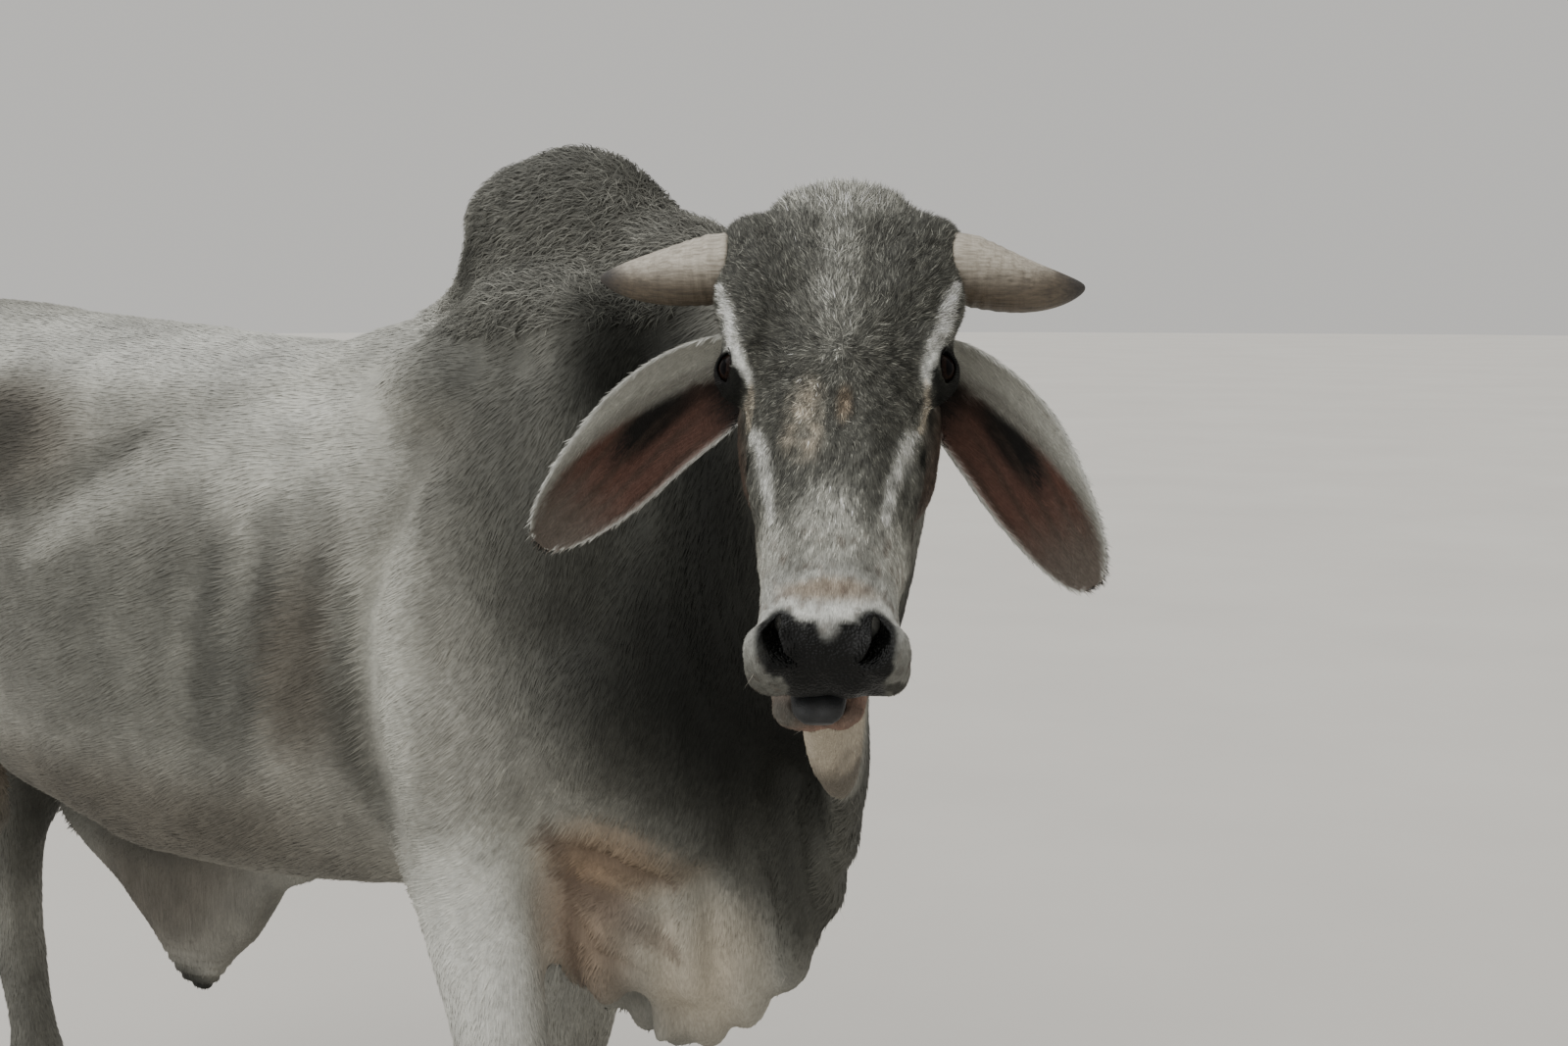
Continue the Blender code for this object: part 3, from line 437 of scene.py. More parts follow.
HINDLEG = (
    (1.250, -0.010, 0.045, 0.150, 0.060),
    (1.120, -0.025, 0.025, 0.210, 0.092),
    (1.000, -0.020, 0.010, 0.212, 0.100),
    (0.900, 0.005, 0.004, 0.185, 0.094),
    (0.800, 0.020, 0.004, 0.146, 0.082),
    (0.710, -0.002, 0.006, 0.112, 0.069),
    (0.630, -0.040, 0.008, 0.083, 0.056),
    (0.565, -0.066, 0.010, 0.072, 0.048),
    (0.510, -0.072, 0.010, 0.072, 0.049),
    (0.455, -0.060, 0.008, 0.060, 0.050),
    (0.400, -0.050, 0.006, 0.049, 0.045),
    (0.300, -0.036, 0.004, 0.043, 0.040),
    (0.205, -0.022, 0.000, 0.042, 0.041),
    (0.158, -0.016, 0.000, 0.052, 0.051),
    (0.118, 0.002, 0.000, 0.047, 0.049),
    (0.072, 0.022, 0.000, 0.054, 0.057),
)


def legs(bm):
    """Four legs from level sections, each with its two dewclaws."""
    hip = sum(HIND_X.values()) / 2
    for side, sign in SIDES.items():
        for shape, foot, stance, joint, knee in (
            (FORELEG, FORE_X[side], FORE_STANCE, SHOULDER_X, 0.75),
            (HINDLEG, HIND_X[side], HIND_STANCE, hip, 0.65),
        ):
            stations = []
            for z, ahead, inward, long, wide in shape:
                drawn = (joint - foot) * min(1.0, max(0.0, (z - 0.45) / (knee - 0.30)))
                stations.append((foot + ahead + drawn, sign * (stance - inward), z, long, wide))
            add_loft(bm, level_rings(stations))
            for across in (-0.026, 0.026):
                centre = Vector((foot - 0.056, sign * stance + across, 0.130))
                add_egg(bm, centre, (0.018, 0.015, 0.024), segments=12)


def head(bm):
    """Skull and face from sections along the face, with cheeks, brows, muzzle and jaw laid on."""
    face = (  # along, out at top, out at bottom, half width, squareness
        (-0.024, -0.048, -0.110, 0.062, 2.0),
        (-0.004, -0.024, -0.140, 0.098, 2.1),
        (0.036, -0.006, -0.165, 0.122, 2.3),
        (0.090, 0.001, -0.175, 0.126, 2.6),
        (0.150, 0.004, -0.175, 0.117, 2.7),
        (0.205, 0.002, -0.168, 0.102, 2.8),
        (0.260, -0.002, -0.158, 0.089, 2.8),
        (0.320, -0.005, -0.145, 0.077, 2.8),
        (0.380, -0.006, -0.130, 0.071, 2.7),
        (0.440, -0.006, -0.115, 0.069, 2.6),
        (0.490, -0.008, -0.100, 0.070, 2.5),
        (0.520, -0.020, -0.092, 0.066, 2.3),
        (0.540, -0.042, -0.086, 0.052, 2.1),
    )
    jaw = (  # along, out, half width, half depth, towards the animal's right
        (0.080, -0.175, 0.055, 0.050, 0.000),
        (0.140, -0.190, 0.076, 0.060, 0.000),
        (0.210, -0.184, 0.080, 0.062, 0.000),
        (0.290, -0.168, 0.071, 0.054, 0.002),
        (0.370, -0.152, 0.060, 0.044, 0.005),
        (0.440, -0.143, 0.052, 0.034, 0.009),
        (0.500, -0.138, 0.050, 0.027, 0.012),
        (0.534, -0.135, 0.046, 0.021, 0.012),
        (0.552, -0.134, 0.034, 0.013, 0.012),
    )
    rings = []
    for along, top, bottom, half, power in face:
        rings.append(face_ring(along, 0, (top + bottom) / 2, half, (top - bottom) / 2, power, 32))
    add_loft(bm, rings)
    add_loft(bm, [
        face_ring(along, -right, out, half, deep, 2.2, 28) for along, out, half, deep, right in jaw
    ])
    swellings = (  # along, side, out and the three radii
        (-0.004, 0.0, -0.052, 0.030, 0.074, 0.038),  # peak of the poll
        (0.056, 0.086, -0.062, 0.054, 0.050, 0.052),  # horn bosses
        (0.120, 0.068, -0.036, 0.080, 0.062, 0.042),  # corners of the forehead
        (0.184, 0.088, -0.038, 0.040, 0.034, 0.038),  # brows
        (0.205, 0.091, -0.046, 0.036, 0.034, 0.034),  # eye sockets
        (0.275, 0.074, -0.070, 0.090, 0.020, 0.026),  # cheek bones
        (0.215, 0.072, -0.140, 0.105, 0.036, 0.080),  # chewing muscles
        (0.345, 0.054, -0.100, 0.100, 0.028, 0.046),  # cheeks
        (0.148, 0.092, -0.098, 0.034, 0.030, 0.036),  # ear roots
        (0.516, 0.052, -0.040, 0.032, 0.028, 0.034),  # wings of the nostrils
        (0.522, 0.052, -0.066, 0.026, 0.028, 0.026),  # upper lip
        (0.526, 0.022, -0.064, 0.024, 0.032, 0.026),  # front of the upper lip
    )
    for side in (0.010, -0.034):  # the two lobes of the lower lip
        add_egg(bm, on_head(0.538, side, -0.124), (0.020, 0.025, 0.012), HEAD)
    for along, side, out, *radii in swellings:
        head_egg(bm, along, side, out, radii)


# Meshes: joining, cutting and clean-up


def linked(name, data):
    """A new object in the scene that shows a mesh, a light or a camera."""
    obj = bpy.data.objects.new(name, data)
    bpy.context.scene.collection.objects.link(obj)
    return obj


def new_object(name, bm):
    mesh = bpy.data.meshes.new(name)
    bm.to_mesh(mesh)
    bm.free()
    return linked(name, mesh)


def lofted(name, rings):
    """A new object with one closed skin through the rings."""
    bm = bmesh.new()
    add_loft(bm, rings)
    return new_object(name, bm)


@contextmanager
def edited(obj):
    """An object's mesh, open for bmesh operators and put back after them."""
    bm = bmesh.new()
    bm.from_mesh(obj.data)
    yield bm
    bm.to_mesh(obj.data)
    bm.free()


def modified(obj, kind, **settings):
    """Replaces the object's mesh by what a modifier makes of it."""
    modifier = obj.modifiers.new(kind.lower(), kind)
    for key, value in settings.items():
        setattr(modifier, key, value)
    bpy.context.view_layer.update()
    evaluated = obj.evaluated_get(bpy.context.evaluated_depsgraph_get())
    mesh = bpy.data.meshes.new_from_object(evaluated)
    obj.modifiers.clear()
    old, obj.data = obj.data, mesh
    bpy.data.meshes.remove(old)


def fused(name, forms, voxel, rounds):
    """The forms as one smooth closed skin of even four-sided faces."""
    bm = bmesh.new()
    for form in forms:
        form(bm)
    flesh = new_object(name, bm)
    modified(flesh, "REMESH", mode="VOXEL", voxel_size=voxel)
    modified(flesh, "SMOOTH", factor=0.5, iterations=rounds)
    return flesh


def halved(obj, point, way, closed=True):
    """Keeps what lies beyond the plane, on the side that way points to."""
    with edited(obj) as bm:
        geometry = bm.verts[:] + bm.edges[:] + bm.faces[:]
        bmesh.ops.bisect_plane(bm, geom=geometry, plane_co=point, plane_no=way, clear_inner=True)
        if closed:
            rim = [edge for edge in bm.edges if edge.is_boundary]
            bmesh.ops.edgeloop_fill(bm, edges=rim)


def refined(obj):
    """Each face in four, rounded."""
    modified(obj, "SUBSURF", levels=1, render_levels=1)


def thinned(obj, triangles):
    now = sum(len(face.vertices) - 2 for face in obj.data.polygons)
    modified(obj, "DECIMATE", ratio=triangles / now, use_collapse_triangulate=True)


def boolean(obj, other, operation):
    """Cuts or joins with the other object, which is then removed."""
    before = len(obj.data.vertices)
    modified(obj, "BOOLEAN", operation=operation, solver="MANIFOLD", object=other)
    if len(obj.data.vertices) == before:
        raise RuntimeError(f"{other.name} made no difference to {obj.name}")
    bpy.data.objects.remove(other)


def triangulated(obj):
    with edited(obj) as bm:
        bmesh.ops.triangulate(bm, faces=bm.faces, ngon_method="EAR_CLIP")
    return obj


def smoothed(obj, chosen, rounds):
    """Smooths the points whose place the test chosen picks."""
    with edited(obj) as bm:
        verts = [vert for vert in bm.verts if chosen(vert.co)]
        for _ in range(rounds):
            bmesh.ops.smooth_vert(
                bm, verts=verts, factor=0.5, use_axis_x=True, use_axis_y=True, use_axis_z=True
            )


def numbers(items, name, width=3):
    """One property of all the items, as rows."""
    found = np.empty(len(items) * width)
    items.foreach_get(name, found)
    return found.reshape(-1, width)


def move_points(obj, places):
    obj.data.vertices.foreach_set("co", np.ascontiguousarray(places, np.float32).ravel())
    obj.data.update()


def keep_vectors(mesh, name, rows):
    """Keeps three numbers for each point of the mesh."""
    layer = mesh.attributes.new(name, "FLOAT_VECTOR", "POINT")
    layer.data.foreach_set("vector", np.ascontiguousarray(rows, np.float32).ravel())


def keep_colours(mesh, name, rows):
    """Keeps three numbers from 0 to 1 for each point of the mesh, as a colour."""
    layer = mesh.color_attributes.new(name, "FLOAT_COLOR", "POINT")
    rows = np.column_stack((np.clip(rows, 0.0, 1.0), np.ones(len(rows))))
    layer.data.foreach_set("color", rows.astype(np.float32).ravel())
    return layer


def finished(obj, material, slot, *nodes):
    """Brings a piece to its place in the model, with its finish and its body."""
    obj.data.transform(Matrix.Translation(HOME))
    obj.data.materials.clear()
    obj.data.materials.append(material)
    obj.data.shade_smooth()
    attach(obj, "root")
    if nodes:
        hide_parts(*nodes)
    return obj


# Soft masks over the bull, all on rows of points


def ease(value, low, high):
    """From 0 at low to 1 at high, softly."""
    t = np.clip((value - low) / (high - low), 0.0, 1.0)
    return t * t * (3.0 - 2.0 * t)


def blended(first, second, share):
    """The first where share is 0, the second where it is 1."""
    return first * (1.0 - share) + second * share


def unit_rows(rows):
    return rows / np.linalg.norm(rows, axis=1)[:, None]


def blob(places, centre, radii, soft=0.5):
    """1 in the middle of an egg, falling softly to 0 at its surface."""
    reach = np.sqrt((((places - np.array(centre)) / np.array(radii)) ** 2).sum(axis=1))
    return 1.0 - ease(reach, 1.0 - soft, 1.0)


def mottle(places, size, seed):
    """Uneven patches about size across, from -1 to 1."""
    rng = np.random.default_rng(seed)
    total = np.zeros(len(places))
    for _ in range(10):
        way = rng.normal(size=3)
        way *= 2.0 * math.pi / (size * rng.uniform(1.3, 2.8) * np.linalg.norm(way))
        total += np.sin(places @ way + rng.uniform(0.0, 2.0 * math.pi))
    return np.clip(total / 3.4, -1.0, 1.0)


def mottles(places, size, *seeds):
    """One column of patches for each seed."""
    return np.column_stack([mottle(places, size, seed) for seed in seeds])


def from_path(places, path):
    """Distance of each point from a path of straight lengths, and how far along it is, 0 to 1."""
    path = np.array(path, float)
    best = np.full(len(places), 1e9)
    along = np.zeros(len(places))
    for i, (start, end) in enumerate(zip(path, path[1:])):
        step = end - start
        t = np.clip(((places - start) @ step) / (step @ step), 0.0, 1.0)
        away = np.linalg.norm(places - start - t[:, None] * step, axis=1)
        nearer = away < best
        best[nearer] = away[nearer]
        along[nearer] = (i + t[nearer]) / (len(path) - 1)
    return best, along


def streak(places, path, width, soft=0.6):
    """1 along a path, tapering to its ends and falling softly to 0 at width."""
    away, along = from_path(places, path)
    reach = width * (0.35 + 0.65 * np.sin(math.pi * np.clip(along, 0.02, 0.98)) ** 0.6)
    return 1.0 - ease(away / reach, 1.0 - soft, 1.0)


def head_places(places):
    """Along the face, to the left and out of the face, for each point."""
    return (places - np.array(POLL)) @ HEAD_ROWS.T


def head_share(places):
    """1 on the head and 0 on the body."""
    away = (places - np.array(NECK_JOINT)) @ np.array(NECK_WAY)
    return ease(away, -0.04, 0.03)


def mirrored(places):
    """The same places with both sides of the animal laid on one."""
    return np.column_stack((places[:, 0], np.abs(places[:, 1]), places[:, 2]))


# Folds of the hide: path, width and depth, where a negative depth is a ridge


HEAD_FOLDS = (  # on both sides of the head
    (
        (
            (0.168, 0.094, -0.030), (0.188, 0.106, -0.026), (0.212, 0.106, -0.020),
            (0.232, 0.098, -0.018),
        ),
        0.0030, 0.0020,
    ),
    (((0.176, 0.108, -0.060), (0.206, 0.113, -0.066), (0.236, 0.105, -0.058)), 0.0034, 0.0018),
    (((0.236, 0.097, -0.030), (0.262, 0.086, -0.030), (0.292, 0.074, -0.034)), 0.0050, 0.0024),
    (((0.250, 0.090, -0.060), (0.320, 0.078, -0.066), (0.400, 0.066, -0.064)), 0.0090, 0.0030),
    (((0.150, 0.060, 0.000), (0.230, 0.045, 0.000), (0.330, 0.034, 0.000)), 0.0160, 0.0022),
    (((0.462, 0.040, 0.000), (0.470, 0.058, -0.016), (0.480, 0.070, -0.034)), 0.0040, 0.0015),
    (((0.478, 0.028, 0.000), (0.486, 0.050, -0.008)), 0.0034, 0.0012),
    (((0.440, 0.076, -0.090), (0.462, 0.070, -0.086), (0.484, 0.064, -0.088)), 0.0050, 0.0022),
    (((0.432, 0.070, -0.104), (0.420, 0.068, -0.118), (0.416, 0.064, -0.136)), 0.0045, 0.0020),
    (((0.520, 0.066, -0.016), (0.534, 0.066, -0.030), (0.540, 0.058, -0.044)), 0.0040, 0.0020),
)
HEAD_MIDDLE_FOLDS = (
    (((0.530, 0.0, -0.018), (0.545, 0.0, -0.040), (0.545, 0.0, -0.075)), 0.0030, 0.0016),
    (((-0.010, 0.0, -0.010), (0.090, 0.0, 0.005), (0.200, 0.0, 0.004)), 0.0140, -0.0026),
    (((0.552, -0.012, -0.112), (0.560, -0.012, -0.130), (0.540, -0.012, -0.150)), 0.0034, 0.0024),
)
THROAT_GROOVE = (
    (0.672, -0.528, 1.090), (0.660, -0.508, 1.062), (0.645, -0.480, 1.040), (0.6265, -0.447, 1.020),
)
BODY_FOLDS = (  # seen from the side: x and z along the fold, on both sides
    (
        (
            (-0.062, 1.310), (-0.095, 1.200), (-0.128, 1.090), (-0.134, 0.966), (-0.120, 0.850),
            (-0.080, 0.770),
        ),
        0.020, 0.0170,
    ),
    (
        ((-0.030, 1.260), (-0.062, 1.150), (-0.088, 1.040), (-0.090, 0.930), (-0.078, 0.850)),
        0.030, -0.0080,
    ),
    (((0.050, 1.480), (0.062, 1.390), (0.040, 1.290)), 0.018, 0.0050),
    (((0.010, 1.480), (0.022, 1.390), (0.000, 1.300)), 0.018, -0.0045),
    (((-0.150, 1.430), (-0.060, 1.410), (0.050, 1.420)), 0.026, 0.0050),
    (((0.100, 0.790), (0.150, 0.780), (0.215, 0.745)), 0.010, 0.0070),
    (((0.095, 0.745), (0.150, 0.725), (0.215, 0.690)), 0.009, 0.0070),
    (((0.090, 0.700), (0.120, 0.650), (0.170, 0.620)), 0.009, 0.0070),
    (((0.110, 0.840), (0.170, 0.825), (0.240, 0.805)), 0.012, 0.0050),
    (((-1.000, 1.000), (-0.960, 0.880), (-0.930, 0.790)), 0.024, 0.0080),
    (((-1.120, 1.440), (-1.030, 1.330), (-0.990, 1.200)), 0.035, 0.0070),
    (((-0.760, 1.190), (-0.640, 1.225), (-0.520, 1.300)), 0.045, 0.0080),
    (((-0.800, 1.290), (-0.680, 1.320), (-0.560, 1.360)), 0.035, -0.0050),
)


def pushed(places, normals, folds, flat=None):
    """Moves the points in at each fold and out at each ridge, measured on the flat places if given."""
    flat = places if flat is None else flat
    depth = np.zeros(len(places))
    for path, width, deep in folds:
        middle = np.array(path).mean(axis=0)
        reach = np.linalg.norm(np.array(path) - middle, axis=1).max() + 3.0 * width
        near = np.linalg.norm(flat - middle, axis=1) < reach
        away, along = from_path(flat[near], path)
        ends = np.sin(math.pi * np.clip(along, 0.04, 0.96)) ** 0.5
        depth[near] += deep * ends * np.exp(-((away / width) ** 2))
    return places - normals * depth[:, None]


def evened(obj, middle, radii, rounds):
    """Smooths the skin inside an egg, to round the hollow between two forms."""
    def inside(place):
        return sum(((place[i] - middle[i]) / radii[i]) ** 2 for i in range(3)) < 1.0
    smoothed(obj, inside, rounds)


def eye_frame(side):
    """Middle of the eyeball and its directions: out, along the lids, and up."""
    sign = SIDES[side]
    centre = on_head(EYE_AT[0], EYE_AT[1] * sign, EYE_AT[2])
    facing = head_way(EYE_FACING[0], EYE_FACING[1] * sign, EYE_FACING[2])
    lengthways = squared(head_way(1.0, 0.0, -0.12), facing)
    above = facing.cross(lengthways)
    return centre, facing, lengthways, above if above.z > 0 else -above


LID_THICKNESS = 0.0024
LID_REACH = 0.036
LID_LENGTH = 0.0180
LID_UPPER = 0.0122
LID_LOWER = 0.0102


def with_lids(places):
    """Draws the skin over each eyeball as a pair of lids."""
    places = places.copy()
    for side in SIDES:
        centre, facing, lengthways, above = (np.array(part) for part in eye_frame(side))
        local = places - centre
        u, v, w = local @ lengthways, local @ above, local @ facing
        away = np.hypot(u, v)
        near = (away < LID_REACH) & (w > -0.012) & (w < 0.045)
        ball = EYE_RADIUS + LID_THICKNESS
        crease = 0.0012 * np.exp(-(((v - 0.012) / 0.006) ** 2))
        cap = ball - away ** 2 / (2.3 * ball) + crease
        share = np.where(near, 1.0 - ease(away, 0.014, LID_REACH), 0.0)
        places += ((cap - w) * share)[:, None] * facing
    return places


def sculpt_head(obj):
    """Lids, folds and small unevenness of the head, and the room for its coat."""
    places = numbers(obj.data.vertices, "co")
    normals = numbers(obj.data.vertices, "normal")
    on = head_places(places)
    turned = normals @ HEAD_ROWS.T
    bare = np.maximum(ease(on[:, 0], 0.470, 0.505), blob(mirrored(on), EYE_AT, (0.03,) * 3))
    depth = 0.0030 * (1.0 - bare) + 0.0006 * mottle(on, 0.022, 3) + 0.0005 * mottle(on, 0.009, 4)
    depth += 0.003 * blob(on, (0.0, 0.0, -0.03), (0.09, 0.14, 0.10))
    on = on - turned * depth[:, None]
    # The folds of both sides are cut on one side, and turned back
    turn = np.ones_like(on)
    turn[:, 1] = np.where(on[:, 1] < 0.0, -1.0, 1.0)
    on = pushed(mirrored(on), turned * turn, HEAD_FOLDS) * turn
    on = pushed(on, turned, HEAD_MIDDLE_FOLDS)
    places = with_lids(on @ HEAD_ROWS + np.array(POLL))
    move_points(obj, pushed(places, normals, ((THROAT_GROOVE, 0.0075, 0.0065),)))


def coat_depth(places):
    """How far the skin lies under the tips of the coat."""
    hump = blob(places, (0.0, 0.0, 1.56), (0.30, 0.25, 0.22))
    legs = 1.0 - ease(places[:, 2], 0.45, 0.75)
    return 0.0055 + 0.0035 * hump - 0.0030 * legs


def sculpt_body(obj):
    """Folds, pleats and the slack of the hide on the body, and the room for its coat."""
    places = numbers(obj.data.vertices, "co")
    normals = numbers(obj.data.vertices, "normal")
    x, y, z = places.T
    upper = ease(z, 0.50, 0.75)
    depth = coat_depth(places) + 0.0016 * mottle(places, 0.085, 11) * upper
    depth += 0.0009 * mottle(places * (1.0, 1.0, 0.45), 0.030, 12)
    # Upright folds where the neck bends, on its hollow side
    neck = blob(places, (0.40, -0.26, 1.22), (0.16, 0.16, 0.26), 0.8)
    depth += 0.0045 * neck * np.sin((x * 0.86 - y * 0.5 + 0.05 * z) * 2.0 * math.pi / 0.027)
    chest = blob(places, (0.27, 0.0, 1.00), (0.24, 0.30, 0.34), 0.8)
    depth += 0.0020 * chest * np.sin((x - np.abs(y) * 0.6) * 2.0 * math.pi / 0.055 + z * 5.0)
    # Pleats of the dewlap, deepest at its free edge
    curtain = (1.0 - ease(z, 0.72, 0.98)) * ease(x, -0.12, -0.02) * (1.0 - ease(np.abs(y), 0.10, 0.15))
    swing = 0.9 * np.sin(z * 16.0) + 0.5 * np.sign(y)
    depth += 0.0058 * curtain * np.sin(x * 2.0 * math.pi / 0.058 + swing)
    # Rings of slack skin round the sheath and across the scrotum
    sheath_end = blob(places, (-0.72, 0.0, 0.46), (0.10, 0.06, 0.09), 0.7)
    depth += 0.0022 * sheath_end * np.sin(z * 2.0 * math.pi / 0.014)
    sac = blob(places, (-1.21, 0.0, 0.70), (0.09, 0.10, 0.16), 0.6)
    depth += 0.0016 * sac * np.sin((z + 0.01 * np.sin(y * 60.0)) * 2.0 * math.pi / 0.017)
    ribs = blob(places, (-0.48, 0.0, 1.05), (0.34, 0.60, 0.28), 0.7)
    depth += 0.0016 * ribs * np.sin((x + 0.35 * z) * 2.0 * math.pi / 0.075)
    places = places - normals * depth[:, None]
    flanks = normals * ease(np.abs(y), 0.04, 0.08)[:, None]
    move_points(obj, pushed(places, flanks, BODY_FOLDS, places[:, (0, 2)]))


# Cutters and pieces of the head


def slit(side):
    """The opening between the lids, pointed at both corners."""
    centre, facing, lengthways, above = eye_frame(side)
    rings = []
    for depth, wider in ((0.006, 0.90), (0.0185, 1.0), (0.0240, 1.10), (0.034, 1.35)):
        points = []
        for c, s in turns(28):
            rise = (LID_UPPER if s > 0 else LID_LOWER) * bowed(s, 1.35)
            opening = lengthways * (LID_LENGTH * c) + above * rise
            points.append(centre + facing * depth + opening * wider)
        rings.append(points)
    return lofted("slit_" + side, rings)


def socket(side):
    """The room for the eyeball, with a hair's breadth of play."""
    centre, facing, lengthways, _ = eye_frame(side)
    bm = bmesh.new()
    axes = (facing, lengthways, facing.cross(lengthways))
    add_egg(bm, centre, (EYE_RADIUS + EYE_PLAY,) * 3, axes, segments=40)
    return new_object("socket_" + side, bm)


def nostril(side):
    """A long pit that slants down and inwards over the muzzle, with a slit at its outer end."""
    sign = SIDES[side]
    stations = (  # along, side, out, half length, half width, from outside to deep within
        (0.554, 0.052, -0.005, 0.0305, 0.0160),
        (0.534, 0.050, -0.011, 0.0260, 0.0128),
        (0.518, 0.046, -0.019, 0.0230, 0.0104),
        (0.500, 0.040, -0.029, 0.0175, 0.0084),
        (0.484, 0.034, -0.037, 0.0100, 0.0050),
    )
    inward = head_way(-0.74, -0.30 * sign, -0.56)
    lengthways = squared(head_way(0.52, -0.60 * sign, -0.60), inward)
    over = inward.cross(lengthways)
    rings = []
    for along, across, out, long, wide in stations:
        centre = on_head(along, across * sign, out)
        points = []
        for c, s in turns(28):
            narrow = wide * (0.75 - 0.35 * c)
            bend = over * (0.0045 * sign * (c * c))
            points.append(centre + lengthways * (long * c) + over * (narrow * s) + bend)
        rings.append(points)
    return lofted("nostril_" + side, rings)


def mouth():
    """The gap between the lips, open in front and closing towards its corners."""
    stations = (  # along, half width, half height
        (0.610, 0.052, 0.0150),
        (0.560, 0.046, 0.0118),
        (0.535, 0.047, 0.0088),
        (0.505, 0.056, 0.0045),
        (0.475, 0.067, 0.0022),
        (0.445, 0.077, 0.0012),
    )
    return lofted("mouth_gap", [
        face_ring(along, -0.009, -0.104, half, high, 2.6, 40) for along, half, high in stations
    ])


EAR_STEPS = 44
EAR_ARC = 23


def ear_rows(side):
    """Rows of points down the ear's outer and inner faces, with each row's place along it."""
    sign = SIDES[side]
    root = on_head(EAR_ROOT[0], EAR_ROOT[1] * sign, EAR_ROOT[2])
    first, last = EAR_FALL[side]
    rows = []
    place = root - HEAD[1] * sign * 0.014
    gone = 0.0
    for i in range(EAR_STEPS + 1):
        t = 1.0 - (1.0 - i / EAR_STEPS) ** 1.5
        fall = first + (last - first) * min(1.0, 1.9 * t) ** 0.8
        outward = HEAD[1] * sign * math.cos(fall) - Z_AXIS * math.sin(fall)
        ahead = (outward + FACING * 0.06).normalized()
        place = place + ahead * (EAR_LENGTH[side] * (t - gone))
        gone = t
        hollow = squared((FACING * 0.93 - Z_AXIS * 0.30).normalized(), ahead)
        across = ahead.cross(hollow).normalized()
        leaf = math.sin(math.pi * (0.12 + 0.877 * t ** 0.92)) ** 0.42
        half = EAR_WIDTH / 2 * leaf
        curl = 2.5 - 1.35 * min(1.0, t * 1.6)
        radius = half / math.sin(min(curl / 2, math.pi / 2))
        outer, inner = [], []
        for j in range(EAR_ARC):
            share = j / (EAR_ARC - 1) - 0.5
            angle = share * curl
            way = across * math.sin(angle) - hollow * (math.cos(angle) - math.cos(curl / 2))
            edge = 0.45 + 0.55 * math.cos(share * math.pi)
            rib = 0.0013 * math.cos(share * 19.0) * math.sin(math.pi * t) * edge
            wave = 0.0016 * math.sin(t * 13.0 + share * 3.0) * abs(share) * 2.0
            wall = min(EAR_WALL, half * 0.5) * edge + rib
            outer.append(place + way * radius + hollow * wave)
            inner.append(place + way * radius + hollow * (wall + wave))
        rows.append((t, outer, inner))
    return rows


def ear(side):
    """A long hanging ear: a leaf curled round its length, with ribs in its hollow."""
    rings = [outer + inner[::-1] for _, outer, inner in ear_rows(side)]
    return triangulated(lofted("ear_" + side, rings))


def ear_tree():
    """Finds, for any point, the nearest place on an ear: along, across and inside or out."""
    found = []
    for side in SIDES:
        for t, outer, inner in ear_rows(side):
            for j, (back, front) in enumerate(zip(outer, inner)):
                share = (j / (EAR_ARC - 1) - 0.5) * 2.0 * SIDES[side]
                found.append((back, t, share, 0.0))
                found.append((front, t, share, 1.0))
    tree = KDTree(len(found))
    for i, (place, *_) in enumerate(found):
        tree.insert(place, i)
    tree.balance()
    return tree, np.array([row[1:] for row in found])


def ear_places(places):
    """Whether each point is on an ear, 0 to 1, then its place along, across and inside."""
    tree, facts = ear_tree()
    near = np.zeros((len(places), 4))
    on = head_places(places)
    close = (np.abs(on[:, 1]) > 0.095) & (on[:, 0] > 0.05) & (head_share(places) > 0.3)
    for i in np.flatnonzero(close):
        _, index, away = tree.find(places[i])
        near[i, 0] = 1.0 - min(1.0, max(0.0, (away - 0.004) / 0.006))
        near[i, 1:] = facts[index]
    return near


TAIL_PATH = (  # x, y, z, radius
    (-1.440, 0.000, 1.420, 0.036),
    (-1.502, 0.000, 1.405, 0.037),
    (-1.532, 0.003, 1.335, 0.031),
    (-1.544, 0.007, 1.220, 0.026),
    (-1.542, 0.010, 1.080, 0.022),
    (-1.536, 0.010, 0.930, 0.019),
    (-1.530, 0.006, 0.780, 0.017),
    (-1.528, -0.004, 0.660, 0.015),
    (-1.528, -0.004, 0.590, 0.012),
)


def curve_through(rows, count):
    """Even steps on a smooth curve through the rows of numbers."""
    rows = np.array(rows, float)
    padded = np.vstack((2 * rows[0] - rows[1], rows, 2 * rows[-1] - rows[-2]))
    made = []
    for step in np.linspace(0, len(rows) - 1 - 1e-9, count):
        i = int(step)
        t = step - i
        a, b, c, d = padded[i:i + 4]
        made.append(
            0.5 * (2 * b + (c - a) * t + (2 * a - 5 * b + 4 * c - d) * t ** 2
                   + (3 * b - a - 3 * c + d) * t ** 3)
        )
    return made


def tail():
    rows = curve_through(TAIL_PATH, 60)
    points = [Vector(row[:3]) for row in rows]
    radii = [row[3] for row in rows]
    return triangulated(lofted("tail", tube_rings(points, radii, 24, 0.85, Y_AXIS)))


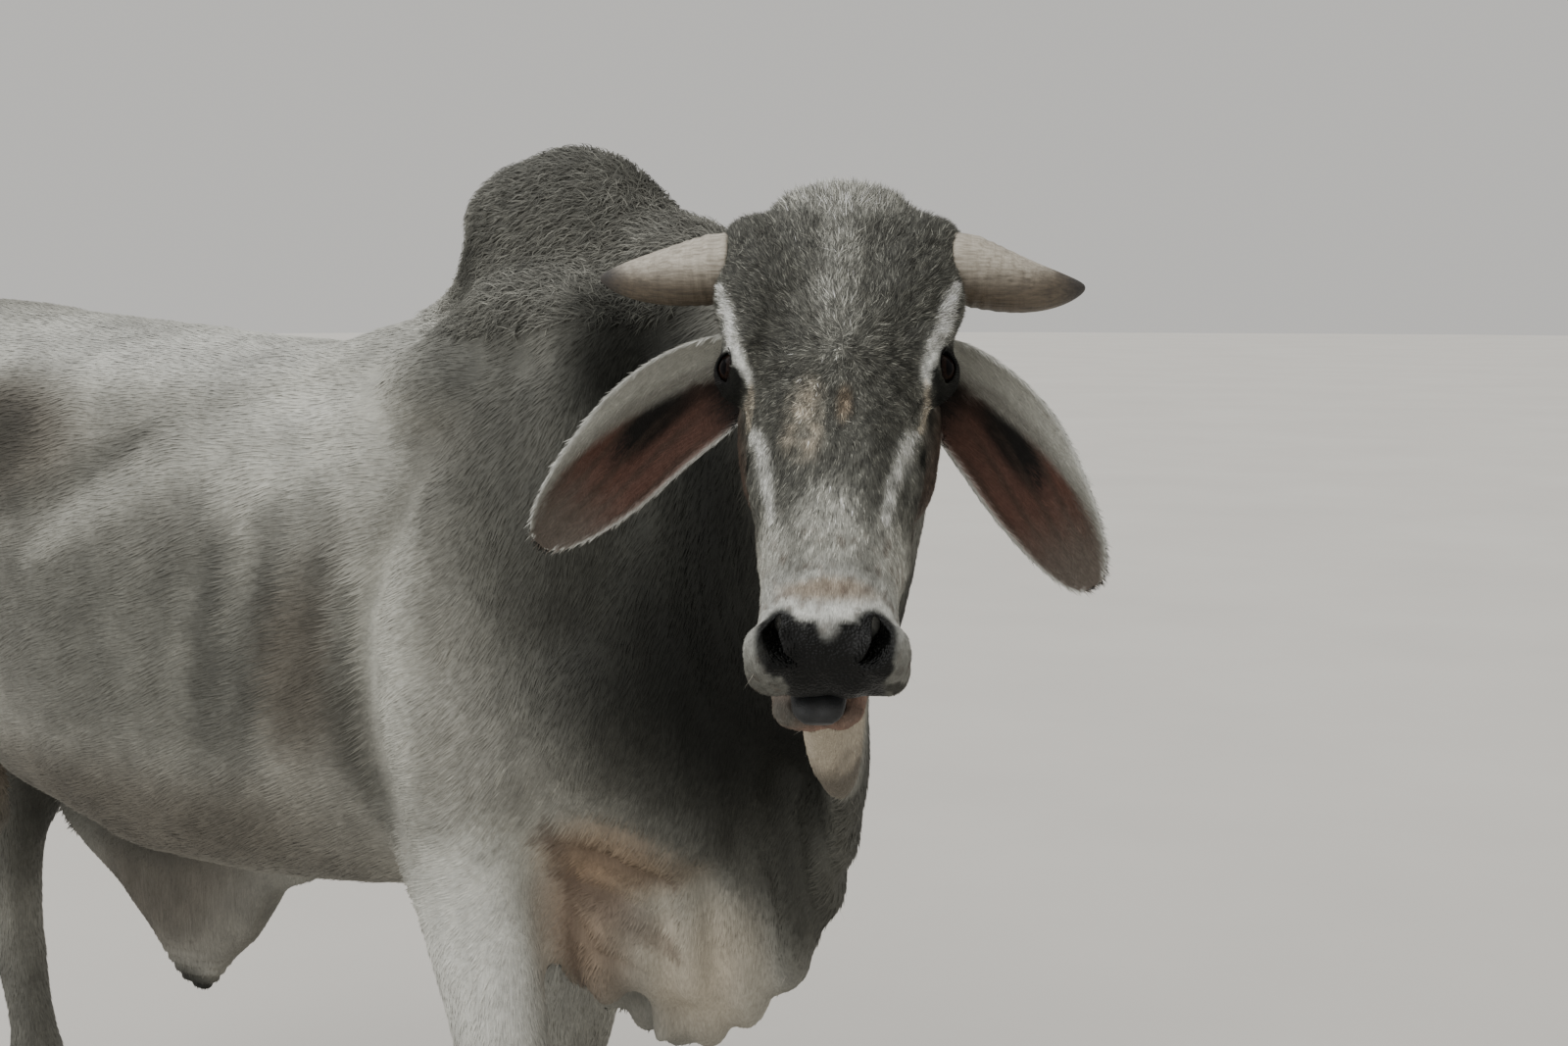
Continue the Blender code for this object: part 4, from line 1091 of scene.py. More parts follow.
def build_hide():
    """The whole skin: a fine head and a coarser body, cut and joined into one closed mesh."""
    fine = fused("fine_head", (neck, dewlap, head), HEAD_VOXEL, 22)
    halved(fine, NECK_JOINT - NECK_WAY * NECK_TRIM, NECK_WAY, closed=False)
    refined(fine)
    sculpt_head(fine)
    halved(fine, NECK_JOINT - NECK_WAY * OVERLAP, NECK_WAY)
    triangulated(fine)
    for side in SIDES:
        for cutter in (slit, socket, nostril):
            boolean(fine, cutter(side), "DIFFERENCE")
    boolean(fine, mouth(), "DIFFERENCE")
    for side in SIDES:
        boolean(fine, ear(side), "UNION")
    thinned(fine, HEAD_TRIANGLES)
    one_surface(fine)

    forms = (trunk, muscles, fillings, scrotum, neck, dewlap, sheath, legs, head)
    body = fused("hide", forms, BODY_VOXEL, 12)
    refined(body)
    for middle, radii, rounds in BODY_EVENED:
        evened(body, middle, radii, rounds)
    sculpt_body(body)
    halved(body, NECK_JOINT, -NECK_WAY)
    triangulated(body)
    thinned(body, BODY_TRIANGLES)
    one_surface(body)
    boolean(body, fine, "UNION")
    boolean(body, tail(), "UNION")
    one_surface(body)
    # The line where the two meshes meet
    smoothed(body, lambda place: abs((place - NECK_JOINT).dot(NECK_WAY)) < SEAM, 8)
    return body


def one_surface(obj):
    """Keeps the biggest closed surface, without doubled points or edges of more than two faces."""
    with edited(obj) as bm:
        bmesh.ops.remove_doubles(bm, verts=bm.verts, dist=DOUBLED)
        bmesh.ops.dissolve_degenerate(bm, edges=bm.edges, dist=DOUBLED)
        seen = set()
        islands = []
        for start in bm.faces:
            if start in seen:
                continue
            seen.add(start)
            island = [start]
            for face in island:
                for edge in face.edges:
                    for other in edge.link_faces:
                        if other not in seen:
                            seen.add(other)
                            island.append(other)
            islands.append(island)
        islands.sort(key=len)
        loose = [face for island in islands[:-1] for face in island]
        bmesh.ops.delete(bm, geom=loose, context="FACES")
        for _ in range(6):
            faulty = [edge for edge in bm.edges if len(edge.link_faces) != 2]
            if not faulty:
                break
            bmesh.ops.collapse(bm, edges=faulty)
            bmesh.ops.dissolve_degenerate(bm, edges=bm.edges, dist=DOUBLED)
        bmesh.ops.triangulate(bm, faces=bm.faces)


def unwrapped(obj):
    """Unwraps the skin's own shape, for the bake of its colours."""
    for other in bpy.context.selected_objects:
        other.select_set(False)
    bpy.context.view_layer.objects.active = obj
    obj.select_set(True)
    obj.data.uv_layers.new(name="OFBake")
    bpy.ops.object.mode_set(mode="EDIT")
    bpy.ops.mesh.select_all(action="SELECT")
    bpy.ops.uv.smart_project(angle_limit=1.15, island_margin=0.002)
    bpy.ops.object.mode_set(mode="OBJECT")
    obj.select_set(False)


# Colours of the coat


def code_values(code):
    """An sRGB hex colour as three numbers from 0 to 1."""
    return np.array([int(code[i:i + 2], 16) for i in (1, 3, 5)]) / 255.0


def lit(values):
    """sRGB numbers as linear light."""
    bright = ((np.maximum(values, 0.0) + 0.055) / 1.055) ** 2.4
    return np.where(values <= 0.04045, values / 12.92, bright)


def linear(code):
    return lit(code_values(code))


def shade(code):
    """A hex code, or a colour that is linear already, as a socket takes it."""
    return (*linear(code), 1.0) if isinstance(code, str) else code


WHITE = "#dfe0da"
PALE = "#bdbdb4"
GREY = "#93928a"
MID_GREY = "#5c5c56"
DARK_GREY = "#383833"
CHARCOAL = "#0f100d"
BLACK = "#121210"
CREAM = "#c4b8a4"
TAN = "#84705b"
ORANGE_TAN = "#8a6a50"
PINK = "#8e7264"
EAR_PINK = "#61463d"
BROWN = "#473a32"
NOSE_BLACK = "#090a09"
LID_BLACK_AND_SHADE = "#0a0a09"
NOSE_PAINTED_SHEEN = "#4c4a4c"
DUN = "#57524a"

BODY_COLOURS_AND_PAINTED_LIGHT = (  # colour, middle, radii, strength; the same on both sides; the coat's own colours, with painted highlights on the back and behind the shoulder and painted shade on the lower flank, under the belly and over the hind legs
    # Pale hair along the back, brightened further as a painted highlight where the top catches the
    # light from above
    (PALE, (-0.60, 0.20, 1.42), (1.00, 0.40, 0.14), 0.80),
    (WHITE, (-0.58, 0.16, 1.43), (0.60, 0.36, 0.09), 0.65),
    # A painted highlight high on the side, behind the shoulder
    (PALE, (-0.27, 0.26, 1.30), (0.26, 0.30, 0.16), 0.90),
    (WHITE, (-0.30, 0.26, 1.33), (0.12, 0.30, 0.05), 0.45),
    (MID_GREY, (-0.46, 0.30, 1.04), (0.48, 0.50, 0.24), 0.70),
    (DUN, (-0.84, 0.28, 1.27), (0.28, 0.30, 0.15), 0.90),
    (DARK_GREY, (-0.86, 0.28, 1.26), (0.20, 0.30, 0.10), 0.60),
    (DUN, (-0.215, 0.30, 1.00), (0.090, 0.30, 0.20), 0.75),
    # Painted shade on the lower flank, where the barrel turns under towards the belly
    (DUN, (-0.55, 0.20, 0.77), (0.55, 0.40, 0.15), 0.70),
    (MID_GREY, (0.12, 0.20, 1.24), (0.27, 0.40, 0.36), 0.90),
    (CHARCOAL, (0.34, 0.00, 1.04), (0.36, 0.60, 0.38), 1.00),
    (CHARCOAL, (0.42, 0.00, 1.27), (0.27, 0.60, 0.31), 1.00),
    (PALE, (-0.105, 0.30, 1.02), (0.075, 0.30, 0.30), 0.85),
    (MID_GREY, (0.02, 0.00, 1.58), (0.30, 0.30, 0.22), 0.85),
    (CHARCOAL, (-0.12, 0.12, 1.53), (0.09, 0.10, 0.12), 0.60),
    (MID_GREY, (-0.02, 0.16, 1.42), (0.15, 0.20, 0.13), 0.80),
    (CHARCOAL, (0.19, 0.16, 1.40), (0.11, 0.20, 0.16), 0.75),
    (PALE, (0.0, 0.24, 0.74), (0.17, 0.20, 0.15), 0.95),
    (WHITE, (0.0, 0.24, 0.62), (0.16, 0.16, 0.24), 0.80),
    (TAN, (0.16, 0.14, 0.78), (0.13, 0.12, 0.07), 0.75),
    (ORANGE_TAN, (0.09, 0.10, 0.70), (0.12, 0.10, 0.17), 0.50),
    (CREAM, (0.22, 0.02, 0.64), (0.10, 0.16, 0.18), 0.75),
    (DARK_GREY, (0.36, 0.00, 0.80), (0.11, 0.20, 0.26), 0.85),
    (DUN, (-0.74, 0.00, 0.60), (0.26, 0.12, 0.18), 0.80),
    # Painted shade under the belly, above the sheath
    (DARK_GREY, (-0.80, 0.00, 0.68), (0.26, 0.14, 0.09), 0.60),
    (CHARCOAL, (-0.73, 0.00, 0.42), (0.09, 0.08, 0.07), 0.90),
    (TAN, (-1.21, 0.00, 0.72), (0.13, 0.15, 0.20), 0.60),
    # Painted shade over the hind legs, which stand under the belly
    (MID_GREY, (-1.25, 0.24, 0.95), (0.26, 0.24, 0.34), 0.60),
    (DARK_GREY, (-1.10, 0.20, 0.62), (0.36, 0.30, 0.30), 0.90),
)
PAINTED_CREASE_SHADE_AND_HIGHLIGHT = (  # seen from the side: colour, path, width, strength; painted shade along creases and hollows of the hide, and a painted highlight along the flank
    (DARK_GREY, ((-0.155, 1.120), (-0.165, 1.020), (-0.160, 0.900), (-0.115, 0.790)), 0.030, 0.35),
    (BROWN, ((0.070, 0.806), (0.130, 0.788), (0.215, 0.748)), 0.028, 0.34),
    (BROWN, ((0.070, 0.755), (0.140, 0.715), (0.215, 0.650)), 0.030, 0.34),
    (BROWN, ((0.085, 0.830), (0.088, 0.740), (0.080, 0.650), (0.078, 0.600)), 0.020, 0.35),
    (DARK_GREY, ((-0.760, 1.190), (-0.640, 1.225), (-0.520, 1.300)), 0.050, 0.35),
    # A painted highlight along the flank
    (PALE, ((-0.680, 1.130), (-0.520, 1.230), (-0.340, 1.330), (-0.160, 1.400)), 0.060, 0.50),
)
HEAD_PATCHES = (  # colour, middle along, to the side and out, radii, strength
    (BROWN, (0.30, 0.135, -0.17), (0.24, 0.085, 0.16), 1.00),
    (DARK_GREY, (0.10, 0.085, -0.02), (0.095, 0.055, 0.12), 0.35),
    (DARK_GREY, (0.195, 0.066, 0.00), (0.080, 0.030, 0.07), 0.50),
    (DARK_GREY, (0.295, 0.052, -0.01), (0.060, 0.024, 0.06), 0.55),
    (PALE, (0.090, 0.0, 0.01), (0.170, 0.034, 0.08), 0.42),
    (PALE, (-0.01, 0.0, -0.03), (0.060, 0.090, 0.09), 0.75),
    (PALE, (0.40, 0.0, 0.00), (0.075, 0.046, 0.10), 0.80),
    (PALE, (0.415, 0.07, -0.05), (0.070, 0.060, 0.09), 0.90),
    (WHITE, (0.495, 0.0, -0.03), (0.075, 0.120, 0.13), 0.95),
    (TAN, (0.466, 0.0, 0.0), (0.018, 0.070, 0.05), 0.60),
    (PINK, (0.52, 0.0, -0.134), (0.090, 0.075, 0.034), 1.00),
    (CREAM, (0.42, 0.0, -0.190), (0.130, 0.070, 0.050), 0.85),
)
HEAD_STREAKS = (  # colour, path along the face and to the side, width, strength
    (WHITE, ((0.112, 0.118), (0.150, 0.110), (0.190, 0.0975), (0.225, 0.088)), 0.0150, 1.00),
    (CREAM, ((0.225, 0.088), (0.240, 0.086), (0.262, 0.080)), 0.0050, 0.60),
    (WHITE, ((0.268, 0.080), (0.290, 0.072), (0.330, 0.061), (0.380, 0.056)), 0.0130, 0.75),
    (CHARCOAL, ((0.215, 0.100), (0.250, 0.103), (0.300, 0.088)), 0.013, 0.90),
)


def plain(code, places):
    """One colour at every place."""
    return np.tile(code_values(code), (len(places), 1))


def laid(colours, code, share):
    """Lays a colour over the others, as strongly as share says at each point."""
    return blended(colours, code_values(code), np.clip(share, 0.0, 1.0)[:, None])


def bare_share(places):
    """1 on the moist nose pad and inside the nostrils, mouth and lids, where no hair grows."""
    on = head_places(places)
    head = head_share(places)
    edge = 0.0020 * mottle(on, 0.012, 21)
    a, s, o = on.T
    below = ease(-o, 0.020, 0.042)
    reach = np.abs(s - 0.003 - 0.006 * below) + edge + 0.013 * below
    pad = ease(a, 0.492, 0.500) * (1.0 - ease(reach, 0.056, 0.062))
    dip = blob(on, (0.503, 0.002, 0.004), (0.034, 0.020, 0.028), 0.5)
    pad *= ease(o, -0.106, -0.102) * (1.0 - dip)
    gap = ease(a, 0.440, 0.452) * (1.0 - ease(np.abs(o + 0.104), 0.0075, 0.0105))
    gap *= 1.0 - ease(np.abs(s + 0.009), 0.060, 0.075)
    inner = blob(mirrored(on), (0.514, 0.044, -0.021), (0.038, 0.027, 0.030), 0.3)
    balls = blob(mirrored(on), EYE_AT, (EYE_RADIUS + 0.0016,) * 3, 0.04)
    return np.maximum.reduce((pad, gap, inner, balls)) * head


def body_markings(places):
    """The body's colours, with painted shade and painted highlights among them, in sRGB numbers."""
    one_side = mirrored(places + 0.016 * mottles(places, 0.16, 31, 32, 33))
    body = plain(GREY, places)
    # Patches of the coat's own colours, and of painted shade and painted highlights
    for code, middle, radii, strength in BODY_COLOURS_AND_PAINTED_LIGHT:
        body = laid(body, code, strength * blob(one_side, middle, radii, 0.75))
    x, y, z = places.T
    profile = places * (1.0, 0.0, 1.0)
    flanks = ease(np.abs(y), 0.03, 0.07)
    # Painted shade in the creases and hollows of the hide, and a painted highlight along the flank
    for code, path, width, strength in PAINTED_CREASE_SHADE_AND_HIGHLIGHT:
        path = [(ahead, 0.0, high) for ahead, high in path]
        body = laid(body, code, strength * flanks * streak(profile, path, width, 0.9))
    knee = np.exp(-(((z - 0.395) / 0.055) ** 2)) * ease(x, 0.02, 0.06) * (x < 0.2)
    tail_end = (1.0 - ease(x, -1.56, -1.50)) * (1.0 - ease(z, 0.9, 1.2))
    for code, share in (
        (MID_GREY, 0.5 * (1.0 - ease(z, 0.30, 0.46))),
        (CHARCOAL, 0.9 * knee),
        (CHARCOAL, 0.75 * (1.0 - ease(z, 0.085, 0.16))),
        (DARK_GREY, 0.7 * tail_end),
    ):
        body = laid(body, code, share)
    broad = mottle(places * (1.0, 1.0, 0.6), 0.11, 34)
    fine = mottle(places, 0.035, 35) + mottle(places * (1.0, 1.0, 0.4), 0.016, 36)
    # Painted light and shade in upright streaks, for the folds where the slack hide hangs behind the
    # shoulder
    slack = blob(one_side, (-0.30, 0.30, 1.06), (0.26, 0.40, 0.32), 0.7)
    hanging = slack * mottle(places * (1.0, 1.0, 0.16), 0.034, 37)
    return body * (1.0 + 0.06 * broad + 0.035 * fine + 0.13 * hanging)[:, None]


def face_markings(places):
    """The head's colours, with painted shade round the lids and on the throat fold and a painted sheen
    on the nose pad, in sRGB numbers.
    """
    on = head_places(places)
    bent = on + 0.004 * mottles(on, 0.040, 41, 42, 43)
    sides = mirrored(bent)
    face = plain(MID_GREY, places)
    for code, middle, radii, strength in HEAD_PATCHES:
        face = laid(face, code, strength * blob(sides, middle, radii, 0.65))
    patchy = 0.62 + 0.38 * mottle(on, 0.012, 49)
    bridge = blob(bent, (0.281, -0.030, 0.0), (0.064, 0.030, 0.05), 0.7)
    face = laid(face, CREAM, 0.95 * patchy * bridge)
    face = laid(face, TAN, 0.55 * blob(bent, (0.262, 0.012, 0.0), (0.030, 0.014, 0.05), 0.7))
    surround = (EYE_AT[0] + 0.004, EYE_AT[1] + 0.008, EYE_AT[2] - 0.010)
    face = laid(face, CHARCOAL, 0.90 * blob(sides, surround, (0.044, 0.034, 0.042), 0.5))
    level = sides * (1.0, 1.0, 0.0)
    front = ease(sides[:, 2], -0.10, -0.07)
    for code, path, width, strength in HEAD_STREAKS:
        path = [(along, side, 0.0) for along, side in path]
        face = laid(face, code, strength * front * streak(level, path, width, 0.8))
    # Black skin of the lids, darkened further as painted shade under the brow
    lids = (EYE_AT[0] + 0.001, EYE_AT[1] + 0.004, EYE_AT[2] - 0.002)
    face = laid(face, LID_BLACK_AND_SHADE, blob(sides, lids, (0.0270, 0.0250, 0.0250), 0.30))
    throat = ease(on[:, 0], 0.34, 0.42) * (1.0 - ease(on[:, 2], -0.170, -0.150))
    face = laid(face, CREAM, 0.85 * throat)
    # Painted shade: the throat fold darkens towards its lower end and along its groove
    painted_throat_shade = 1.0 - ease(places[:, 2] + 0.010 * mottle(places, 0.02, 50), 0.985, 1.025)
    face = laid(face, DUN, 0.75 * throat * painted_throat_shade)
    face = laid(face, BROWN, 0.80 * throat * streak(places, THROAT_GROOVE, 0.0065, 0.8))
    speckle = 0.5 * mottle(on, 0.010, 44) + mottle(on, 0.0048, 45)
    freckles = np.clip(mottle(on, 0.006, 46) + 0.5 * mottle(on, 0.014, 48) - 0.45, 0.0, 1.0)
    face = laid(face, BROWN, 0.45 * ease(on[:, 0], 0.36, 0.42) * freckles * (1.0 - throat))
    ruffled = (0.07 + 0.10 * (1.0 - ease(on[:, 0], 0.34, 0.44))) * (1.0 - 0.8 * throat)
    face *= (1.0 + ruffled * speckle)[:, None]
    # A painted sheen on the upper lobes of the moist black nose pad
    painted_nose_sheen = blob(sides, (0.515, 0.024, -0.004), (0.030, 0.022, 0.022), 0.8)
    nose = laid(plain(NOSE_BLACK, places), NOSE_PAINTED_SHEEN, 0.65 * painted_nose_sheen)
    face = blended(face, nose, bare_share(places)[:, None])
    beneath = blob(bent, (0.545, 0.058, -0.060), (0.030, 0.022, 0.040), 0.6)
    beneath += 0.35 * blob(bent, (0.545, -0.050, -0.060), (0.030, 0.022, 0.040), 0.6)
    return laid(face, DARK_GREY, 0.8 * beneath * (mottle(on, 0.009, 47) > 0.15))


def ear_markings(ears):
    """The ears' colours: pale hair on the back and the rolled rims, whose edges are whitened further
    as a painted highlight, dark and flesh-red inside.
    """
    _, along, across, inside = ears.T
    upper = -across
    spots = np.column_stack((along, upper))
    spots = spots + 0.03 * mottles(np.column_stack((spots, inside)), 0.3, 61, 62)
    outer = laid(plain(GREY, ears), PALE, ease(upper, -0.1, 0.8))
    ribs = ease(np.cos(upper * 17.0 + 3.0 * along), 0.2, 0.9)
    rim = 0.04 + 0.78 * ease(along, 0.10, 0.90)
    inner = plain(EAR_PINK, ears)
    for code, share in (
        (BLACK, 0.92 * blob(spots, (0.40, 0.05), (0.26, 0.40), 0.6)),
        (BLACK, 0.85 * (1.0 - ease(along, 0.12, 0.28))),
        (BROWN, 0.85 * ease(along, 0.66, 0.92)),
        (BROWN, 0.6 * ribs * ease(along, 0.2, 0.4)),
        (GREY, ease(upper, rim - 0.14, rim + 0.05)),
        (PALE, ease(upper, rim + 0.05, rim + 0.35)),
        (GREY, 0.45 * ease(along, 0.60, 0.95)),
        # Pale hair at the rims' edges, whitened further as a painted highlight
        (WHITE, ease(np.abs(across), 0.86, 0.99)),
    ):
        inner = laid(inner, code, share)
    return blended(outer, inner, inside[:, None])


def markings(places, ears):
    """The colour of the coat at each point, in linear light, from where the point is on the bull."""
    colours = blended(body_markings(places), face_markings(places), head_share(places)[:, None])
    return lit(np.clip(blended(colours, ear_markings(ears), ears[:, :1]), 0.0, 1.0))


# The lie of the hair


BODY_LIE = (  # direction, middle, radii; the same on both sides
    ((-0.45, 0.0, -1.0), (0.25, 0.20, 1.10), (0.40, 0.60, 0.55)),
    ((-0.75, 0.0, -0.65), (0.0, 0.0, 1.56), (0.36, 0.40, 0.25)),
    ((-0.30, 0.0, -1.0), (-1.15, 0.25, 0.95), (0.30, 0.40, 0.35)),
    ((-1.0, 0.0, 0.0), (-0.55, 0.0, 0.72), (0.50, 0.30, 0.12)),
    ((0.0, 0.0, -1.0), (0.24, 0.0, 0.66), (0.22, 0.14, 0.26)),
    ((0.0, 0.0, -1.0), (-0.73, 0.0, 0.50), (0.16, 0.10, 0.18)),
    ((0.0, 0.0, -1.0), (-1.56, 0.0, 0.85), (0.12, 0.20, 0.80)),
)
WHORL = (0.20, 0.010, 0.0)  # on the forehead, where the face's hair parts


def lie(places, normals, ears, stray, rng):
    """The way the hair lies at each point, along the skin."""
    one_side = mirrored(places)
    way = np.tile((-1.0, 0.0, -0.35), (len(places), 1))
    for direction, middle, radii in BODY_LIE:
        way = blended(way, np.array(direction), blob(one_side, middle, radii, 0.6)[:, None])
    on_legs = (1.0 - ease(places[:, 2], 0.55, 0.78))[:, None]
    way = blended(way, np.array((-0.15, 0.0, -1.0)), on_legs)
    on = head_places(places)
    away = (on - np.array(WHORL)) * (1.0, 1.0, 0.6)
    away /= np.linalg.norm(away, axis=1)[:, None] + 0.01
    way = blended(way, away @ HEAD_ROWS, head_share(places)[:, None])
    outward = np.sign(on[:, 1])[:, None] * np.array(HEAD[1]) * 0.75 - np.array(Z_AXIS) * 0.65
    way = blended(way, outward, ears[:, :1])
    waves = mottles(places, 0.05, 51, 52, 53)
    ruffles = mottles(places, 0.014, 54, 55, 56)
    way = way + 0.16 * waves + stray * ruffles + rng.normal(0.0, stray, (len(places), 3))
    return unit_rows(way - normals * (way * normals).sum(axis=1)[:, None])


# Roots of the tufts on the finished hide


def hide_facts():
    """The hide's triangles: place, normal, ear facts and unwrapped place of each corner."""
    mesh = bpy.data.objects["hide"].data
    places = numbers(mesh.vertices, "co") - np.array(HOME)
    normals = numbers(mesh.vertices, "normal")
    ears = np.column_stack((
        numbers(mesh.attributes["ear"].data, "value", 1),
        numbers(mesh.attributes["ear_place"].data, "vector"),
    ))
    corners = np.empty(len(mesh.loops), int)
    mesh.loops.foreach_get("vertex_index", corners)
    corners = corners.reshape(-1, 3)
    flat = numbers(mesh.uv_layers["OFBake"].uv, "vector", 2).reshape(-1, 3, 2)
    return places[corners], normals[corners], ears[corners], flat


def region_shares(places, ears):
    """How much coat of each kind grows at each point."""
    x, y, z = places.T
    on = head_places(places)
    ear = ears[:, 0] > 0.4
    head = (head_share(places) > 0.5) & ~ear
    forehead = head & (on[:, 0] < 0.30) & (on[:, 2] > -0.06)
    hairy = 1.0 - ease(bare_share(places), 0.2, 0.6)
    body = ~head & ~ear
    hump = body & (blob(places, (0.0, 0.0, 1.56), (0.33, 0.30, 0.24), 1.0) > 0.10)
    neck_side = body & ~hump & (x > -0.13) & (z > 0.82)
    low = (z < 0.68) | ((x > -0.13) & (z <= 0.82)) | (x < -1.47)
    under = body & ~hump & ~neck_side & low
    flank = body & ~hump & ~neck_side & ~under
    return {
        "coat_forehead": forehead * hairy,
        "coat_face": (head & ~forehead) * hairy,
        "coat_ears": ear * (1.0 - 0.55 * ears[:, 3]),
        "coat_hump": hump * 1.0,
        "coat_neck": neck_side * 1.0,
        "coat_flank_right": (flank & (y < 0.0)) * 1.0,
        "coat_flank_left": (flank & (y >= 0.0)) * 1.0,
        "coat_legs": under * 1.0,
    }


def scattered(facts, share, count, rng):
    """Roots spread evenly over the triangles that have a share of this coat."""
    places = facts[0]
    sides = np.cross(places[:, 1] - places[:, 0], places[:, 2] - places[:, 0])
    weight = np.linalg.norm(sides, axis=1) * share
    edges = np.cumsum(weight)
    steps = (np.arange(count) + rng.random(count)) / count * edges[-1]
    picked = np.minimum(np.searchsorted(edges, steps), len(weight) - 1)
    a, b = rng.random((2, count))
    over = a + b > 1.0
    a[over], b[over] = 1.0 - a[over], 1.0 - b[over]
    mix = np.column_stack((1.0 - a - b, a, b))[:, :, None]
    roots, normals, ears, flat = ((part[picked] * mix).sum(axis=1) for part in facts)
    return roots, unit_rows(normals), ears, flat


# Tufts as thin closed blades


BAKE_PATCH = 0.0015  # half the side of the patch that a tuft takes in the skin's unwrap


def blade_faces(stations):
    """The triangles of one blade of three edges that runs through its stations to a point."""
    faces = [(0, 1, 2)]
    for k in range(stations - 1):
        a, b = 3 * k, 3 * k + 3
        for p, q, r, s in ((a, a + 2, b + 2, b), (a + 2, a + 1, b + 1, b + 2), (a, b, b + 1, a + 1)):
            faces += [(p, q, r), (p, r, s)]
    last, tip = 3 * stations - 3, 3 * stations
    faces += [(last, last + 2, tip), (last + 2, last + 1, tip), (last, tip, last + 1)]
    return np.array(faces)


def tuft_mesh(name, spine, across, rise, half, thick, colours, flat):
    """Tufts in one mesh: each a thin closed blade drawn along its spine, with its root's colour."""
    count, stations = spine.shape[0], spine.shape[1] - 1
    each = 3 * stations + 1
    places = np.empty((count, each, 3))
    bent = np.empty((count, each, 3))
    tone = np.empty(each)
    for k in range(stations):
        slim = math.sin(math.pi * (0.30 + 0.55 * k / (stations - 1))) if stations > 1 else 1.0
        wide = (half * slim)[:, None] * across
        high = (thick * slim)[:, None] * rise
        for corner, offset, lean in ((0, -wide, -across), (1, wide, across), (2, high, 0.0 * across)):
            places[:, 3 * k + corner] = spine[:, k] + offset
            bent[:, 3 * k + corner] = rise + 0.45 * lean
            # Each blade lightens from its dark root to its tip; its upper ridge is painted a little
            # lighter than its edges, a painted highlight
            tone[3 * k + corner] = 0.88 + 0.14 * k / stations + 0.04 * (corner == 2)
    places[:, -1] = spine[:, -1]
    bent[:, -1] = rise
    tone[-1] = 1.10
    faces = (blade_faces(stations)[None] + np.arange(count)[:, None, None] * each).reshape(-1, 3)
    mesh = bpy.data.meshes.new(name)
    mesh.vertices.add(count * each)
    mesh.vertices.foreach_set("co", places.astype(np.float32).ravel())
    mesh.loops.add(faces.size)
    mesh.loops.foreach_set("vertex_index", faces.astype(np.int32).ravel())
    mesh.polygons.add(len(faces))
    mesh.polygons.foreach_set("loop_start", np.arange(0, faces.size, 3, dtype=np.int32))
    mesh.update(calc_edges=True)
    mesh.validate()
    mesh.shade_smooth()
    painted(mesh, (colours[:, None] * tone[None, :, None]).reshape(-1, 3))
    patch = np.zeros((each, 2))
    patch[:, 0] = np.tile((-BAKE_PATCH, BAKE_PATCH, 0.0), stations + 1)[:each]
    patch[:, 1] = np.linspace(-BAKE_PATCH, BAKE_PATCH, each)
    unwrap = (flat[:, None] + patch[None]).reshape(-1, 2)
    layer = mesh.uv_layers.new(name="OFBake")
    layer.uv.foreach_set("vector", unwrap[faces.ravel()].astype(np.float32).ravel())
    mesh.normals_split_custom_set_from_vertices(bent.reshape(-1, 3))
    return linked(name, mesh)


def painted(mesh, colours):
    """Keeps one colour for each point, which the finishes read as markings."""
    mesh.color_attributes.active_color = keep_colours(mesh, "markings", colours)


COATS = {  # tufts, length, half width, thickness, rise, stray, speckle, stations
    "coat_forehead": (48000, 0.0092, 0.00056, 0.0005, 0.36, 0.30, 0.62, 1),
    "coat_face": (48000, 0.0080, 0.00060, 0.0004, 0.17, 0.12, 0.22, 1),
    "coat_ears": (26000, 0.0100, 0.00055, 0.0004, 0.18, 0.12, 0.14, 1),
    "coat_hump": (19000, 0.0210, 0.0015, 0.0010, 0.34, 0.30, 0.30, 2),
    "coat_neck": (49000, 0.0190, 0.0015, 0.0008, 0.12, 0.08, 0.10, 1),
    "coat_flank_right": (49000, 0.0230, 0.0021, 0.0009, 0.11, 0.06, 0.05, 1),
    "coat_flank_left": (49000, 0.0230, 0.0021, 0.0009, 0.11, 0.06, 0.05, 1),
    "coat_legs": (49000, 0.0160, 0.0019, 0.0009, 0.12, 0.07, 0.06, 1),
}


